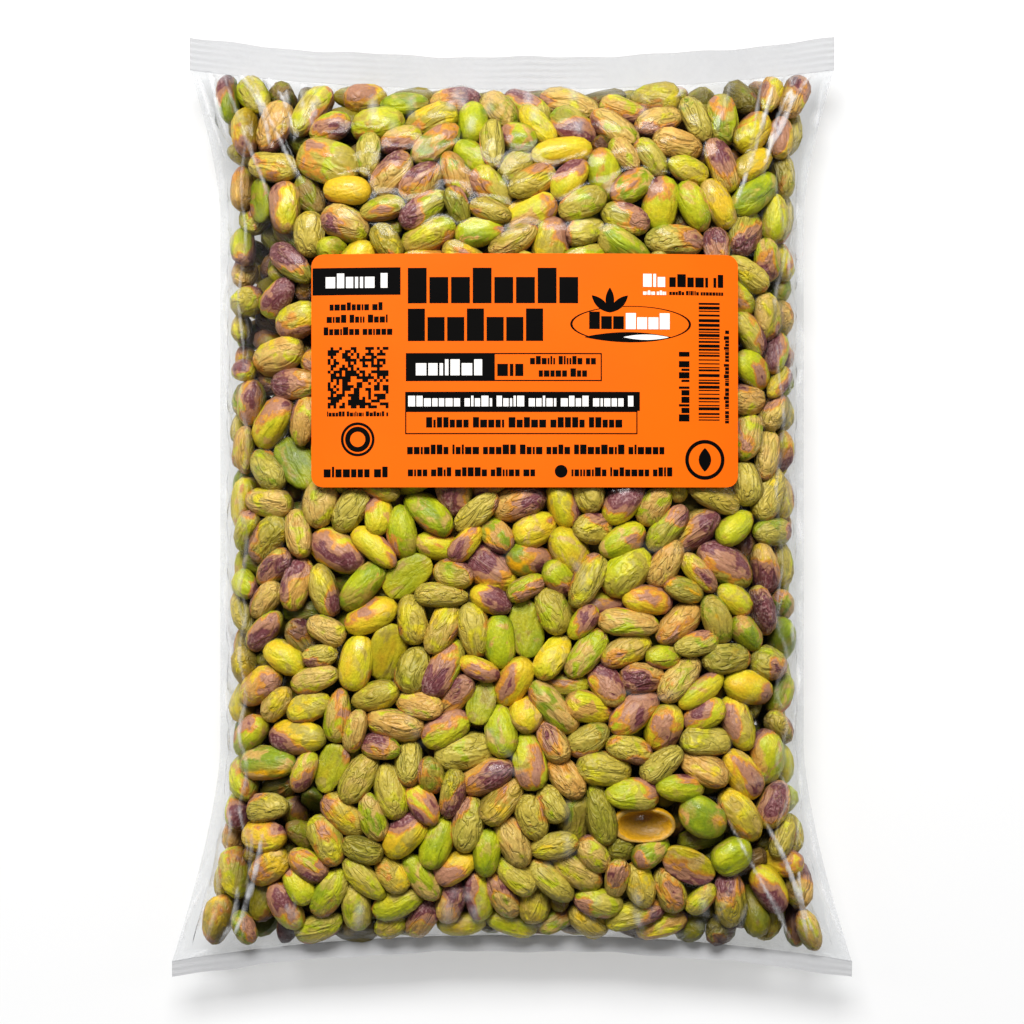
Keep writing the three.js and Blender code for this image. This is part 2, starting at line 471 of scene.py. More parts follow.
@dataclass
class KernelBed:
    """Kernels pressed together inside the bag, each a chain of three balls while they settle."""

    shape: BagShape
    count: int = 1640
    seed: int = 11
    mean_length: float = 16.3
    length_spread: float = 1.9
    length_range: tuple[float, float] = (11.5, 20.5)
    slenderness: float = 0.6
    slenderness_spread: float = 0.05
    slenderness_range: tuple[float, float] = (0.48, 0.76)
    long_is_slender: float = 0.012
    thickness_range: tuple[float, float] = (0.82, 0.96)
    held_thickness: float = 0.8
    held_room: float = 0.5
    film_clearance: float = 0.6
    end_clearance: float = 0.5
    rounds: int = 420
    pairs_every: int = 8
    block: int = 200
    over_relaxed: float = 1.3
    most_return: float = 2.5
    grown_after: float = 0.6
    first_size: float = 0.72
    end_ball: float = 0.74
    skin_depth: float = 8.5
    flatten: float = 0.08
    press: float = 0.03
    press_reach: float = 6.0
    lattice_step: float = 9.2
    lattice_floor: float = 4.0
    lattice_level: float = 0.93
    lattice_end: float = 17.0
    pair_reach: float = 20.0
    features: tuple[Feature, ...] = (
        Feature(40.0, -96.3, -0.04, 19.6, 11.4, Form.HOLLOW, 1.3, 0.0, -0.15),
        Feature(67.0, -106.0, 0.5, 13.5, 11.0, Form.WHOLE, 0.6, 0.0, 0.1),
        Feature(54.0, -109.0, -0.5, 18.0, 10.5, Form.SPLIT, 0.1, 0.95, 0.3),
        Feature(58.0, -94.0, -0.6, 16.5, 12.0, Form.WHOLE, 0.78, 0.0, 0.1),
        Feature(-50.0, 96.0, -0.1, 15.0, 9.0, Form.WHOLE, -0.1, 0.0, 0.05),
        Feature(-56.0, 105.0, -0.35, 21.0, 13.5, Form.WHOLE, 0.5, 0.25, 0.5),
        Feature(-47.0, -47.0, 1.35, 17.5, 10.5, Form.WHOLE, 0.2, 0.1, 0.2),
        Feature(34.0, 2.0, 0.9, 17.0, 10.5, Form.WHOLE, 0.25, 0.75, 0.2),
    )

    def settle(self) -> None:
        """Grows the kernels from a jittered lattice and pushes the overlaps apart.

        Each round moves overlapping balls apart by half their overlap, moves balls that pass
        the film back along the wall's normal, and fits each kernel's stiff line through its
        balls again. Kernels near the film are turned to lie flat against it, and the
        featured ones are held in their places.
        """
        rng = np.random.default_rng(self.seed)
        self._choose_sizes(rng)
        self._scatter(rng)
        pairs = None
        for turn in range(self.rounds):
            grown = min(1.0, turn / (self.rounds * self.grown_after))
            scale = self.first_size + (1 - self.first_size) * grown
            radii = self.radii * scale
            balls = self.centres[:, None] + self.reach[None, :, None] * (
                (self.lengths * scale / 2 - radii[:, 0])[:, None, None] * self.axes[:, None]
            )
            if turn % self.pairs_every == 0:
                pairs = self._near_pairs(balls, radii)
            balls = self._push_apart(balls, radii, pairs)
            balls = self._keep_inside(balls, radii)
            self.centres = balls.mean(axis=1)
            axes = balls[:, 2] - balls[:, 0]
            self.axes = axes / np.linalg.norm(axes, axis=1, keepdims=True)
            self._press_out()
            self._hold_features()
        self._finish(rng)

    def _choose_sizes(self, rng: np.random.Generator) -> None:
        """Draws each kernel's length, width and thickness."""
        lengths = rng.normal(self.mean_length, self.length_spread, self.count)
        self.lengths = np.clip(lengths, *self.length_range)
        slender = rng.normal(self.slenderness, self.slenderness_spread, self.count)
        slender = slender - self.long_is_slender * (self.lengths - self.mean_length)
        self.widths = self.lengths * np.clip(slender, *self.slenderness_range)
        self.thicks = self.widths * rng.uniform(*self.thickness_range, self.count)
        for number, feature in enumerate(self.features):
            self.lengths[number] = feature.length
            self.widths[number] = feature.width
            self.thicks[number] = self.held_thickness * feature.width
        middle = (self.widths + self.thicks) / 4
        held = len(self.features)
        middle[:held] = self.widths[:held] / 2 + self.held_room
        self.radii = np.stack([middle * self.end_ball, middle, middle * self.end_ball], axis=1)
        self.reach = np.array([-1.0, 0.0, 1.0])

    def _scatter(self, rng: np.random.Generator) -> None:
        """Places the kernels on a jittered lattice inside the bag, pointing anywhere."""
        shape = self.shape
        step = self.lattice_step
        sides = (shape.bottom_width / 2, shape.length / 2)
        across = np.arange(-sides[0], sides[0], step)
        along = np.arange(-sides[1], sides[1], step)
        lowest = self.lattice_floor + 0.5
        upward = np.arange(lowest, shape.fold_height + shape.front_rise, step * 0.9)
        lattice = np.stack(np.meshgrid(across, along, upward, indexing="ij"), axis=-1)
        lattice = lattice.reshape(-1, 3)
        lattice = lattice + rng.uniform(-0.35, 0.35, lattice.shape) * step
        lattice[:, 2] = np.maximum(lattice[:, 2], self.lattice_floor)
        inside = shape.level(lattice) < self.lattice_level
        ends = np.abs(lattice[:, 1]) < shape.length / 2 - self.lattice_end
        lattice = lattice[inside & ends]
        chosen = rng.permutation(len(lattice))[: self.count]
        missing = max(0, self.count - len(chosen))
        extra = rng.uniform([-70, -110, 8], [70, 110, 36], (missing, 3))
        self.centres = np.concatenate([lattice[chosen], extra])
        axes = rng.normal(size=(self.count, 3)) * (1.0, 1.0, 0.75)
        self.axes = axes / np.linalg.norm(axes, axis=1, keepdims=True)

    def _hold_features(self) -> None:
        """Keeps the featured kernels in their places, flat against the front film."""
        for number, feature in enumerate(self.features):
            deep = self.thicks[number] / 2 + self.film_clearance
            top = self.shape.front_height(np.array(feature.x), np.array(feature.y))
            centre = np.array([feature.x, feature.y, float(top) - deep])
            normal = self._wall(centre[None])[1][0]
            heading = np.array([math.cos(feature.heading), math.sin(feature.heading), 0.0])
            axis = heading - (heading @ normal) * normal
            self.centres[number] = centre
            self.axes[number] = axis / np.linalg.norm(axis)

    def _near_pairs(self, balls: np.ndarray, radii: np.ndarray) -> tuple[np.ndarray, np.ndarray]:
        """Pairs of balls of different kernels that could touch in the next rounds.

        Args:
            balls: Ball centres by kernel.
            radii: Ball radii by kernel.

        Returns:
            The pairs' first and second ball numbers.
        """
        centres = self.centres
        firsts, seconds = [], []
        for start in range(0, self.count, self.block):
            block = centres[start : start + self.block]
            gaps = np.linalg.norm(block[:, None] - centres[None], axis=-1)
            i, j = np.nonzero(gaps < self.pair_reach)
            keep = j > i + start
            firsts.append(i[keep] + start)
            seconds.append(j[keep])
        first, second = np.concatenate(firsts), np.concatenate(seconds)
        ball_a, ball_b = np.meshgrid(np.arange(3), np.arange(3))
        a = (first[:, None] * 3 + ball_a.ravel()[None]).ravel()
        b = (second[:, None] * 3 + ball_b.ravel()[None]).ravel()
        spots, sizes = balls.reshape(-1, 3), radii.ravel()
        near = np.linalg.norm(spots[a] - spots[b], axis=1) < sizes[a] + sizes[b] + 2.0
        return a[near], b[near]

    def _push_apart(
        self, balls: np.ndarray, radii: np.ndarray, pairs: tuple[np.ndarray, np.ndarray]
    ) -> np.ndarray:
        """Moves each overlapping ball by the mean of half its overlaps.

        Args:
            balls: Ball centres by kernel.
            radii: Ball radii by kernel.
            pairs: Pairs that could touch.

        Returns:
            The moved balls.
        """
        a, b = pairs
        spots, sizes = balls.reshape(-1, 3), radii.ravel()
        apart = spots[a] - spots[b]
        gaps = np.linalg.norm(apart, axis=1) + 1e-9
        overlap = np.maximum(0, sizes[a] + sizes[b] - gaps)
        push = apart / gaps[:, None] * (overlap / 2)[:, None]
        number = len(spots)
        touching = (overlap > 0).astype(float)
        count = np.bincount(a, touching, number) + np.bincount(b, touching, number)
        total = np.stack(
            [np.bincount(a, way, number) - np.bincount(b, way, number) for way in push.T], axis=1
        )
        moved = spots + total * (self.over_relaxed / np.maximum(1, count**0.6))[:, None]
        return moved.reshape(balls.shape)

    def _wall(self, points: np.ndarray) -> tuple[np.ndarray, np.ndarray]:
        """Distance to the film along its normal, and that normal.

        Args:
            points: Points inside or just outside the bag.

        Returns:
            Distances, positive inside, and unit normals pointing out. The distance is
            (1 - level) over the level's slope, the slope taken by small differences.
        """
        base = self.shape.level(points)
        nudge = 0.05
        slope = np.stack(
            [(self.shape.level(points + nudge * axis) - base) / nudge for axis in np.eye(3)],
            axis=-1,
        )
        steep = np.linalg.norm(slope, axis=-1) + 1e-6
        return (1 - base) / steep, slope / steep[..., None]

    def _keep_inside(self, balls: np.ndarray, radii: np.ndarray) -> np.ndarray:
        """Moves balls whose outmost point is past the film, the floor or a seal back inside.

        Args:
            balls: Ball centres by kernel.
            radii: Ball radii by kernel.

        Returns:
            The moved balls.
        """
        _, normal = self._wall(balls)
        outmost = balls + normal * (radii + self.film_clearance)[..., None]
        distance, normal = self._wall(outmost)
        balls = balls - normal * np.clip(-distance, 0, self.most_return)[..., None]
        x = balls[..., 0]
        room = radii + self.end_clearance
        low, high = self.shape.bottom_line(x) + room, self.shape.top_line(x) - room
        balls[..., 1] = np.clip(balls[..., 1], low, high)
        balls[..., 2] = np.maximum(balls[..., 2], radii + self.film_clearance)
        return balls

    def _film_side(self) -> tuple[np.ndarray, np.ndarray]:
        """Each kernel's distance to the nearest film and the way there.

        Returns:
            Distances and unit directions; the flat back counts as a wall of its own.
        """
        distance, normal = self._wall(self.centres)
        floor = self.centres[:, 2]
        under = floor < distance
        normal = np.where(under[:, None], np.array([0.0, 0.0, -1.0]), normal)
        return np.minimum(distance, floor), normal

    def _press_out(self) -> None:
        """Turns kernels near the film towards lying flat against it and presses them to it."""
        distance, normal = self._film_side()
        near = (distance < self.skin_depth).astype(float)
        lean = (self.axes * normal).sum(axis=1) * near * self.flatten
        axes = self.axes - lean[:, None] * normal
        self.axes = axes / np.linalg.norm(axes, axis=1, keepdims=True)
        gap = np.clip(distance - self.thicks / 2 - self.film_clearance, 0, None)
        pull = np.where(gap < self.press_reach, gap * self.press, 0)
        self.centres = self.centres + normal * pull[:, None]

    def _finish(self, rng: np.random.Generator) -> None:
        """Finds the kernels that touch the film, and turns each one's flatter side."""
        distance, normal = self._film_side()
        self.depths = distance
        self.outer = distance < self.skin_depth
        loose = rng.normal(size=(self.count, 3))
        held = len(self.features)
        loose[:held] = 0.0
        self.outer[:held] = True
        facing = np.where(self.outer[:, None], normal + loose * 0.22, loose)
        facing = facing - (facing * self.axes).sum(axis=1, keepdims=True) * self.axes
        self.facing = facing / np.linalg.norm(facing, axis=1, keepdims=True)
        self.across = np.cross(self.facing, self.axes)


@dataclass(frozen=True)
class KernelSkin:
    """The kernel's finish: yellow to green flesh, a papery wrinkled skin and torn mauve patches."""

    name: str = "kernel_skin"
    roughness: float = 0.46
    gloss: float = 0.42
    relief: float = 2.2
    groove_depth: float = 0.13
    # share of painted shade laid into the wrinkles' grooves
    groove_painted_shade: float = 0.17
    # share of the lighter ridge colour, partly pale vein colour and partly painted highlight
    vein_and_highlight_share: float = 0.22
    flesh: tuple = (
        (0.00, srgb(238, 194, 36)),
        (0.18, srgb(230, 208, 36)),
        (0.40, srgb(206, 204, 34)),
        (0.58, srgb(180, 188, 16)),
        (0.76, srgb(134, 154, 26)),
        (0.90, srgb(168, 154, 44)),
        (1.00, srgb(250, 182, 12)),
    )
    papers: tuple = (
        (0.00, srgb(152, 140, 44)),
        (0.30, srgb(212, 188, 84)),
        (0.60, srgb(182, 156, 56)),
        (0.80, srgb(226, 184, 104)),
        (1.00, srgb(216, 156, 84)),
    )
    lip: Colour = srgb(206, 160, 70)
    rim: Colour = srgb(222, 148, 50)
    mauve: Colour = srgb(188, 132, 100)
    plum: Colour = srgb(124, 64, 68)
    # pale flecks in the plum patches: partly pale skin, partly a painted sheen
    pale_skin_and_sheen: Colour = srgb(216, 176, 166)
    # dark brown used as painted shade in the grooves
    fold: Colour = srgb(84, 52, 20)
    # lighter ridge colour: partly the skin's pale veins, partly painted highlight
    vein_and_highlight: Colour = srgb(226, 202, 92)
    speckle: tuple[float, float] = (0.82, 1.14)
    clouding: float = 0.2

    def make(self) -> bpy.types.Material:
        """Builds the material from the kernels' own coordinates, seeds and tones."""
        graph = Graph(self.name)
        local = graph.attribute("nut_local").outputs["Vector"]
        seed = graph.attribute("nut_seed").outputs["Vector"]
        tone = graph.node("SeparateXYZ", {0: graph.attribute("nut_tone").outputs["Vector"]})
        hue, skin, wrinkle = tone.outputs[0], tone.outputs[1], tone.outputs[2]
        own = graph.vector("ADD", local, graph.vector("MULTIPLY", seed, (41.0, 41.0, 41.0)))
        fine = graph.noise(graph.vector("MULTIPLY", own, (1.6, 1.0, 1.0)), 6.0, 4.0, 0.4)
        folds = graph.noise(graph.vector("MULTIPLY", own, (0.8, 1.35, 1.35)), 1.2, 2.0, 0.9)
        groove = graph.math("MULTIPLY", self._near(graph, folds, 0.47, 0.032), wrinkle)
        colour = self._flesh(graph, local, own, hue)
        colour = self._paper(graph, own, seed, wrinkle, colour)
        colour = self._patches(graph, local, own, seed, skin, fine, colour)
        # Painted shade: the wrinkles' grooves are darkened towards the dark brown.
        colour = graph.mix(graph.math("MULTIPLY", groove, self.groove_painted_shade), colour, self.fold)
        # Lighter ridges of the wrinkles: partly the skin's pale veins and partly a painted
        # highlight.
        raised = graph.math("MULTIPLY", self._near(graph, folds, 0.57, 0.03), wrinkle)
        colour = graph.mix(graph.math("MULTIPLY", raised, self.vein_and_highlight_share), colour, self.vein_and_highlight)
        colour = graph.mix(1.0, colour, graph.spread(fine, *self.speckle), "MULTIPLY")
        # Painted shade: the colour is darkened on each kernel's side away from the film, and all
        # over on buried kernels.
        colour = graph.mix(1.0, colour, graph.attribute("nut_shade").outputs["Fac"], "MULTIPLY")
        height = graph.math("SUBTRACT", folds, graph.math("MULTIPLY", groove, self.groove_depth))
        height = graph.math("MULTIPLY", height, graph.math("ADD", wrinkle, 0.25))
        height = graph.math("ADD", height, graph.math("MULTIPLY", fine, 0.1))
        bump = graph.node(
            "Bump", {"Strength": 0.9, "Distance": self.relief * MM, "Height": height}
        )
        shader = graph.node(
            "BsdfPrincipled",
            {
                "Base Color": colour,
                "Roughness": self.roughness,
                "Specular IOR Level": self.gloss,
                "Normal": bump.outputs["Normal"],
            },
        )
        return graph.finish(shader.outputs["BSDF"])

    @staticmethod
    def _near(graph: Graph, value, middle: float, reach: float):
        """1 where a noise passes through a middle value, falling to 0 at a reach either side."""
        off = graph.math("ABSOLUTE", graph.math("SUBTRACT", value, middle))
        return graph.step(off, reach, 0.0)

    def _flesh(self, graph: Graph, local, own, hue):
        """Flesh colour: the kernel's hue moved along the ramp by slow noise.

        Args:
            graph: The material.
            local: The kernel's own coordinates.
            own: The same, moved apart by its seed.
            hue: The kernel's place on the ramp; past 1.1 it is hollow, with a tan lip.

        Returns:
            The colour output.
        """
        cloud = graph.spread(graph.noise(own, 0.9, 2.0), -self.clouding, self.clouding)
        place = graph.math("ADD", cloud, hue, clamp=True)
        flesh = graph.ramp(place, list(self.flesh))
        high = graph.step(graph.node("SeparateXYZ", {0: local}).outputs[2], 0.18, 0.26)
        lip = graph.math("MULTIPLY", high, graph.step(hue, 1.1, 1.2))
        return graph.mix(lip, flesh, self.lip)

    def _paper(self, graph: Graph, own, seed, wrinkle, flesh):
        """Papery skin over part of the flesh, more of it on the more wrinkled kernels.

        Args:
            graph: The material.
            own: The kernel's own coordinates, moved apart by its seed.
            seed: The kernel's random numbers, which choose the paper's colour.
            wrinkle: How wrinkled the kernel is.
            flesh: The colour below.

        Returns:
            The colour output.
        """
        kind = graph.node("SeparateXYZ", {0: seed}).outputs[0]
        shift = graph.vector("ADD", own, (5.0, 9.0, 2.0))
        sheet = graph.noise(graph.vector("MULTIPLY", shift, (1.5, 1.1, 1.1)), 1.0, 3.0, 0.6)
        share = graph.math("ADD", sheet, graph.math("MULTIPLY", wrinkle, 0.34))
        place = graph.math("ADD", kind, graph.math("SUBTRACT", sheet, 0.5))
        paper = graph.ramp(place, list(self.papers))
        return graph.mix(graph.math("MULTIPLY", graph.step(share, 0.60, 0.72), 0.85), flesh, paper)

    def _patches(self, graph: Graph, local, own, seed, skin, fine, colour):
        """Torn patches of inner skin: an orange rim, then mauve, then plum with pale flecks, partly
        pale skin and partly a painted sheen.

        Args:
            graph: The material.
            local: The kernel's own coordinates.
            own: The same, moved apart by its seed.
            seed: The kernel's random numbers, which give the covered side.
            skin: The kernel's share of skin.
            fine: Fine noise, which breaks up the pale flecks of skin and painted sheen.
            colour: The colour below.

        Returns:
            The colour output. The cover is torn noise, plus the covered side, plus the share.
        """
        side = graph.vector("DOT_PRODUCT", local, graph.vector("SUBTRACT", seed, (0.5, 0.5, 0.5)))
        torn = graph.noise(graph.vector("MULTIPLY", own, (1.1, 1.0, 1.0)), 0.8, 4.0, 0.3)
        cover = graph.math("ADD", graph.math("MULTIPLY", side, 0.6), torn)
        cover = graph.math("ADD", cover, graph.math("MULTIPLY", skin, 0.33))
        colour = graph.mix(graph.step(cover, 0.74, 0.82), colour, self.rim)
        colour = graph.mix(graph.step(cover, 0.82, 0.86), colour, self.mauve)
        colour = graph.mix(graph.step(cover, 0.93, 0.98), colour, self.plum)
        # Pale flecks in the plum: partly pale skin and partly a painted sheen.
        pale = graph.math("MULTIPLY", graph.step(cover, 0.96, 1.1), graph.step(fine, 0.45, 0.62))
        return graph.mix(graph.math("MULTIPLY", pale, 0.4), colour, self.pale_skin_and_sheen)


@dataclass
class Kernels:
    """The kernels' meshes, in tiles by where they lie in the bag."""

    bed: KernelBed
    finish: KernelSkin
    rows: int = 6
    columns: int = 4
    hues: tuple[float, ...] = (0.06, 0.24, 0.42, 0.58, 0.76)
    hue_shares: tuple[float, ...] = (0.14, 0.34, 0.28, 0.14, 0.1)
    split_share: float = 0.035
    split_cut: float = 0.12
    deep_shade: float = 0.3
    buried_shade: float = 0.75
    buried_reach: float = 5.0
    shade_span: tuple[float, float] = (-0.55, 0.62)
    end_reach: float = 34.0
    above_floor: float = 0.35
    dent_depth: float = 0.2
    dent_turn: float = 0.55
    outer_mesh: tuple[int, int] = (8, 10)
    inner_mesh: tuple[int, int] = (5, 7)
    feature_mesh: tuple[int, int] = (16, 24)

    def build(self) -> list[bpy.types.Object]:
        """Makes the tiles, each riding on the bag's one body."""
        bed = self.bed
        rng = np.random.default_rng(bed.seed + 1)
        self._choose_looks(rng)
        width, length = bed.shape.waist_width, bed.shape.length * 0.92
        column = np.clip((bed.centres[:, 0] / width + 0.5) * self.columns, 0, self.columns - 1)
        row = np.clip((bed.centres[:, 1] / length + 0.5) * self.rows, 0, self.rows - 1)
        tile = row.astype(int) * self.columns + column.astype(int)
        material = self.finish.make()
        made = []
        for number in range(self.rows * self.columns):
            name = f"kernels_row{number // self.columns + 1}_column{number % self.columns + 1}"
            piece = self._tile(name, np.nonzero(tile == number)[0])
            piece.data.materials.append(material)
            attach(piece, "root")
            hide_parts("kernel_fill")
            made.append(piece)
        log.info("%d kernels in %d tiles", bed.count, len(made))
        return made

    def _choose_looks(self, rng: np.random.Generator) -> None:
        """Draws each kernel's form, colours and irregularities."""
        count = self.bed.count
        self.seeds = rng.uniform(0, 1, (count, 3))
        hue = rng.choice(self.hues, count, p=self.hue_shares)
        hue = np.clip(hue + rng.normal(0, 0.06, count), 0, 0.88)
        skin = rng.beta(1.1, 1.7, count)
        wrinkle = rng.beta(1.3, 1.2, count)
        self.tones = np.stack([hue, skin, wrinkle], axis=1)
        split = rng.uniform(0, 1, count) < self.split_share
        self.forms = np.where(split, Form.SPLIT.value, Form.WHOLE.value)
        self.tones[split, 1] *= 0.15
        self.tones[split, 2] *= 0.3
        self.tapers = rng.uniform(-0.15, 0.15, count)
        self.bends = rng.uniform(0.0, 0.06, count)
        self.lobes = rng.uniform(0.02, 0.09, count)
        self.turns = rng.uniform(0, 2 * math.pi, count)
        self.bluntness = rng.uniform(2.2, 3.3, count)
        self.dents = rng.uniform(0, 1, (count, 3, 4))
        self.fine = np.zeros(count, bool)
        for number, feature in enumerate(self.bed.features):
            self.forms[number] = feature.form.value
            self.tones[number] = (feature.hue, feature.skin, feature.wrinkle)
            self.fine[number] = True
            self.tapers[number] *= 0.3

    def _tile(self, name: str, members: np.ndarray) -> bpy.types.Object:
        """One tile's mesh.

        Args:
            name: The piece's name.
            members: Numbers of the kernels in the tile.

        Returns:
            The object, with the kernels' own coordinates, seeds, tones and shades as
            attributes. Kernels near the film or an end have the finer of the two plain meshes.
        """
        bed = self.bed
        fine = self.fine[members]
        at_end = np.abs(bed.centres[members, 1]) > bed.shape.length / 2 - self.end_reach
        shown = bed.depths[members] < bed.skin_depth + self.buried_reach
        outer = (shown | at_end) & ~fine
        groups = (
            (members[outer], self.outer_mesh),
            (members[~outer & ~fine], self.inner_mesh),
            (members[fine], self.feature_mesh),
        )
        points, faces, local, seeds, tones, shades = [], [], [], [], [], []
        start = 0
        for group, (rings, around) in groups:
            if not len(group):
                continue
            spots, own = self._shape(group, rings, around)
            each = spots.shape[1]
            offsets = start + np.arange(len(group)) * each
            for part in self._kernel_faces(rings, around):
                faces.append((part[None] + offsets[:, None, None]).reshape(-1, part.shape[1]))
            points.append(spots.reshape(-1, 3))
            local.append(own.reshape(-1, 3))
            seeds.append(np.repeat(self.seeds[group], each, axis=0))
            tones.append(np.repeat(self.tones[group], each, axis=0))
            shades.append(self._shade(group, own[..., 2]).ravel())
            start += len(group) * each
        attributes = {
            "nut_local": np.concatenate(local),
            "nut_seed": np.concatenate(seeds),
            "nut_tone": np.concatenate(tones),
            "nut_shade": np.concatenate(shades),
        }
        return make_object(name, np.concatenate(points), faces, attributes)

    def _shade(self, group: np.ndarray, z: np.ndarray) -> np.ndarray:
        """Painted shade: how much light each vertex would get between its neighbours, as a share of
        full light, multiplied into the kernel's colour.

        Args:
            group: Numbers of the kernels.
            z: The vertices' places across each kernel, 1 being the side that faces the film.

        Returns:
            The shares by kernel and vertex. A kernel at the film is dark on its inner side,
            the others all over, the more so the deeper they lie.
        """
        bed = self.bed
        side = self.deep_shade + (1 - self.deep_shade) * smooth_step(*self.shade_span, z)
        depth = bed.depths[group, None]
        buried = smooth_step(bed.skin_depth, bed.skin_depth + self.buried_reach, depth)
        buried = self.buried_shade + (self.deep_shade - self.buried_shade) * buried
        return np.where(bed.outer[group, None], side, buried)

    @staticmethod
    def _kernel_faces(rings: int, around: int) -> list[np.ndarray]:
        """Corner numbers of one kernel: a fan at each tip and bands of quads between."""
        step = np.arange(around)
        after = (step + 1) % around
        last = 1 + (rings - 1) * around
        first_fan = np.stack([np.zeros(around, int), 1 + after, 1 + step], axis=1)
        base = last - around
        last_fan = np.stack([np.full(around, last), base + step, base + after], axis=1)
        low = 1 + np.arange(rings - 2)[:, None] * around
        high = low + around
        quads = np.stack([low + step, low + after, high + after, high + step], axis=-1)
        return [np.concatenate([first_fan, last_fan]), quads.reshape(-1, 4)]

    def _shape(self, group: np.ndarray, rings: int, around: int) -> tuple[np.ndarray, np.ndarray]:
        """The kernels' vertices: an egg-shaped, slightly three-sided, bent and dented spindle.

        The profile along the length u in -1 to 1 is (1 - |u|^p)^(1/2.05) times 1 + taper u,
        drawn in towards the tip. Round it, the radius is 1 + lobe cos(3 angle + turn), less
        three bell-shaped dents. A split kernel is cut flat across its front, and a hollow one
        is scooped out from there. Where one would pass the film under the bag, it is pressed
        flat.

        Args:
            group: Numbers of the kernels.
            rings: Bands along a kernel.
            around: Vertices round a ring.

        Returns:
            Vertices in the bag, and the kernels' own coordinates, -1 to 1 each way.
        """
        bed = self.bed
        u = -np.cos(np.pi * np.arange(1, rings) / rings)
        u = np.sign(u) * np.abs(u) ** 0.92
        angle = 2 * np.pi * np.arange(around) / around
        grid_u = np.concatenate([[-1.0], np.repeat(u, around), [1.0]])[None]
        grid_angle = np.concatenate([[0.0], np.tile(angle, rings - 1), [0.0]])[None]
        power = self.bluntness[group, None]
        taper = self.tapers[group, None]
        profile = np.maximum(0, 1 - np.abs(grid_u) ** power) ** (1 / 2.05)
        profile = profile * (1 + taper * grid_u)
        profile = profile * (1 - 0.1 * smooth_step(0.45, 1.0, grid_u))
        lobed = 1 + self.lobes[group, None] * np.cos(3 * grid_angle + self.turns[group, None])
        for place, where, depth, size in self.dents[group].transpose(1, 2, 0):
            along = (grid_u - (place[:, None] * 1.5 - 0.75)) / (0.2 + 0.5 * size[:, None])
            turn = np.angle(np.exp(1j * (grid_angle - where[:, None] * 2 * np.pi)))
            bell = np.exp(-(along**2) - (turn / self.dent_turn) ** 2)
            lobed = lobed - self.dent_depth * depth[:, None] * bell
        radius = profile * lobed
        y = radius * np.cos(grid_angle)
        z = radius * np.sin(grid_angle)
        form = self.forms[group, None]
        z = np.where(form == Form.SPLIT.value, np.minimum(z, self.split_cut), z)
        bowl = 0.3 - 0.95 * np.maximum(0, 1 - (grid_u / 0.87) ** 2 - (y / 0.84) ** 2) ** 0.7
        z = np.where(form == Form.HOLLOW.value, np.minimum(z, bowl), z)
        own = np.stack(np.broadcast_arrays(grid_u, y, z), axis=-1)
        long = grid_u * bed.lengths[group, None] / 2
        wide = y * bed.widths[group, None] / 2
        bend = self.bends[group, None] * bed.lengths[group, None] * (0.35 - grid_u**2)
        deep = z * bed.thicks[group, None] / 2 + bend
        spots = (
            bed.centres[group, None]
            + long[..., None] * bed.axes[group, None]
            + wide[..., None] * bed.across[group, None]
            + deep[..., None] * bed.facing[group, None]
        )
        spots[..., 2] = np.maximum(spots[..., 2], self.above_floor)
        return spots, own


# ---------------------------------------------------------------- film


@dataclass(frozen=True)
class ClearFilm:
    """Clear plastic film: a faint mirror, stronger at a glance, and milky where it is creased; the
    milk is partly the crease's own whitening and partly a painted highlight.

    The mirror's share is its least value plus grazing times (1 - cos)^5, alike from both sides.
    """

    name: str
    haze: float = 0.0
    # milk along the creases: partly the film's whitening, partly a painted highlight
    crease_haze_and_highlight: float = 0.8
    roughness: float = 0.12
    ripple: float = 0.32
    mirror: float = 0.004
    grazing: float = 0.3
    tint: Colour = (0.952, 0.955, 0.957, 1.0)
    # diffuse white: partly the film's haze, partly a painted highlight
    milk_and_highlight: Colour = (0.92, 0.92, 0.93, 1.0)

    def make(self) -> bpy.types.Material:
        """Builds the material; a vertex attribute says where the film is milky, which is partly a
        painted highlight.
        """
        graph = Graph(self.name)
        place = graph.node("TexCoord").outputs["Object"]
        amount = graph.attribute("film_haze_and_highlight").outputs["Fac"]
        crinkle = graph.noise(place, 90.0, 3.0, 1.2)
        height = graph.math("MULTIPLY", crinkle, self.ripple)
        bump = graph.node("Bump", {"Strength": 0.5, "Distance": 1.2 * MM, "Height": height})
        normal = bump.outputs["Normal"]
        clear = graph.node("BsdfTransparent", {"Color": self.tint})
        gloss = graph.node(
            "BsdfAnisotropic",
            {"Roughness": self.roughness, "Normal": normal, "Color": (1, 1, 1, 1)},
        )
        facing = graph.node("LayerWeight", {"Blend": 0.5, "Normal": normal}).outputs["Facing"]
        grazing = graph.math("MULTIPLY", graph.math("POWER", facing, 5.0), self.grazing)
        mirror = graph.math("ADD", grazing, self.mirror)
        shiny = graph.node("MixShader", {0: mirror, 1: clear.outputs[0], 2: gloss.outputs[0]})
        milk_and_highlight = graph.node("BsdfDiffuse", {"Color": self.milk_and_highlight})
        patchy = graph.math("MULTIPLY", amount, graph.step(crinkle, 0.25, 0.75))
        factor = graph.math("MULTIPLY", patchy, self.crease_haze_and_highlight)
        factor = graph.math("ADD", factor, self.haze, clamp=True)
        # Partly a painted highlight: the diffuse milk along creases stands in for their white
        # glints.
        surface = graph.node("MixShader", {0: factor, 1: shiny.outputs[0], 2: milk_and_highlight.outputs[0]})
        return graph.finish(surface.outputs[0])


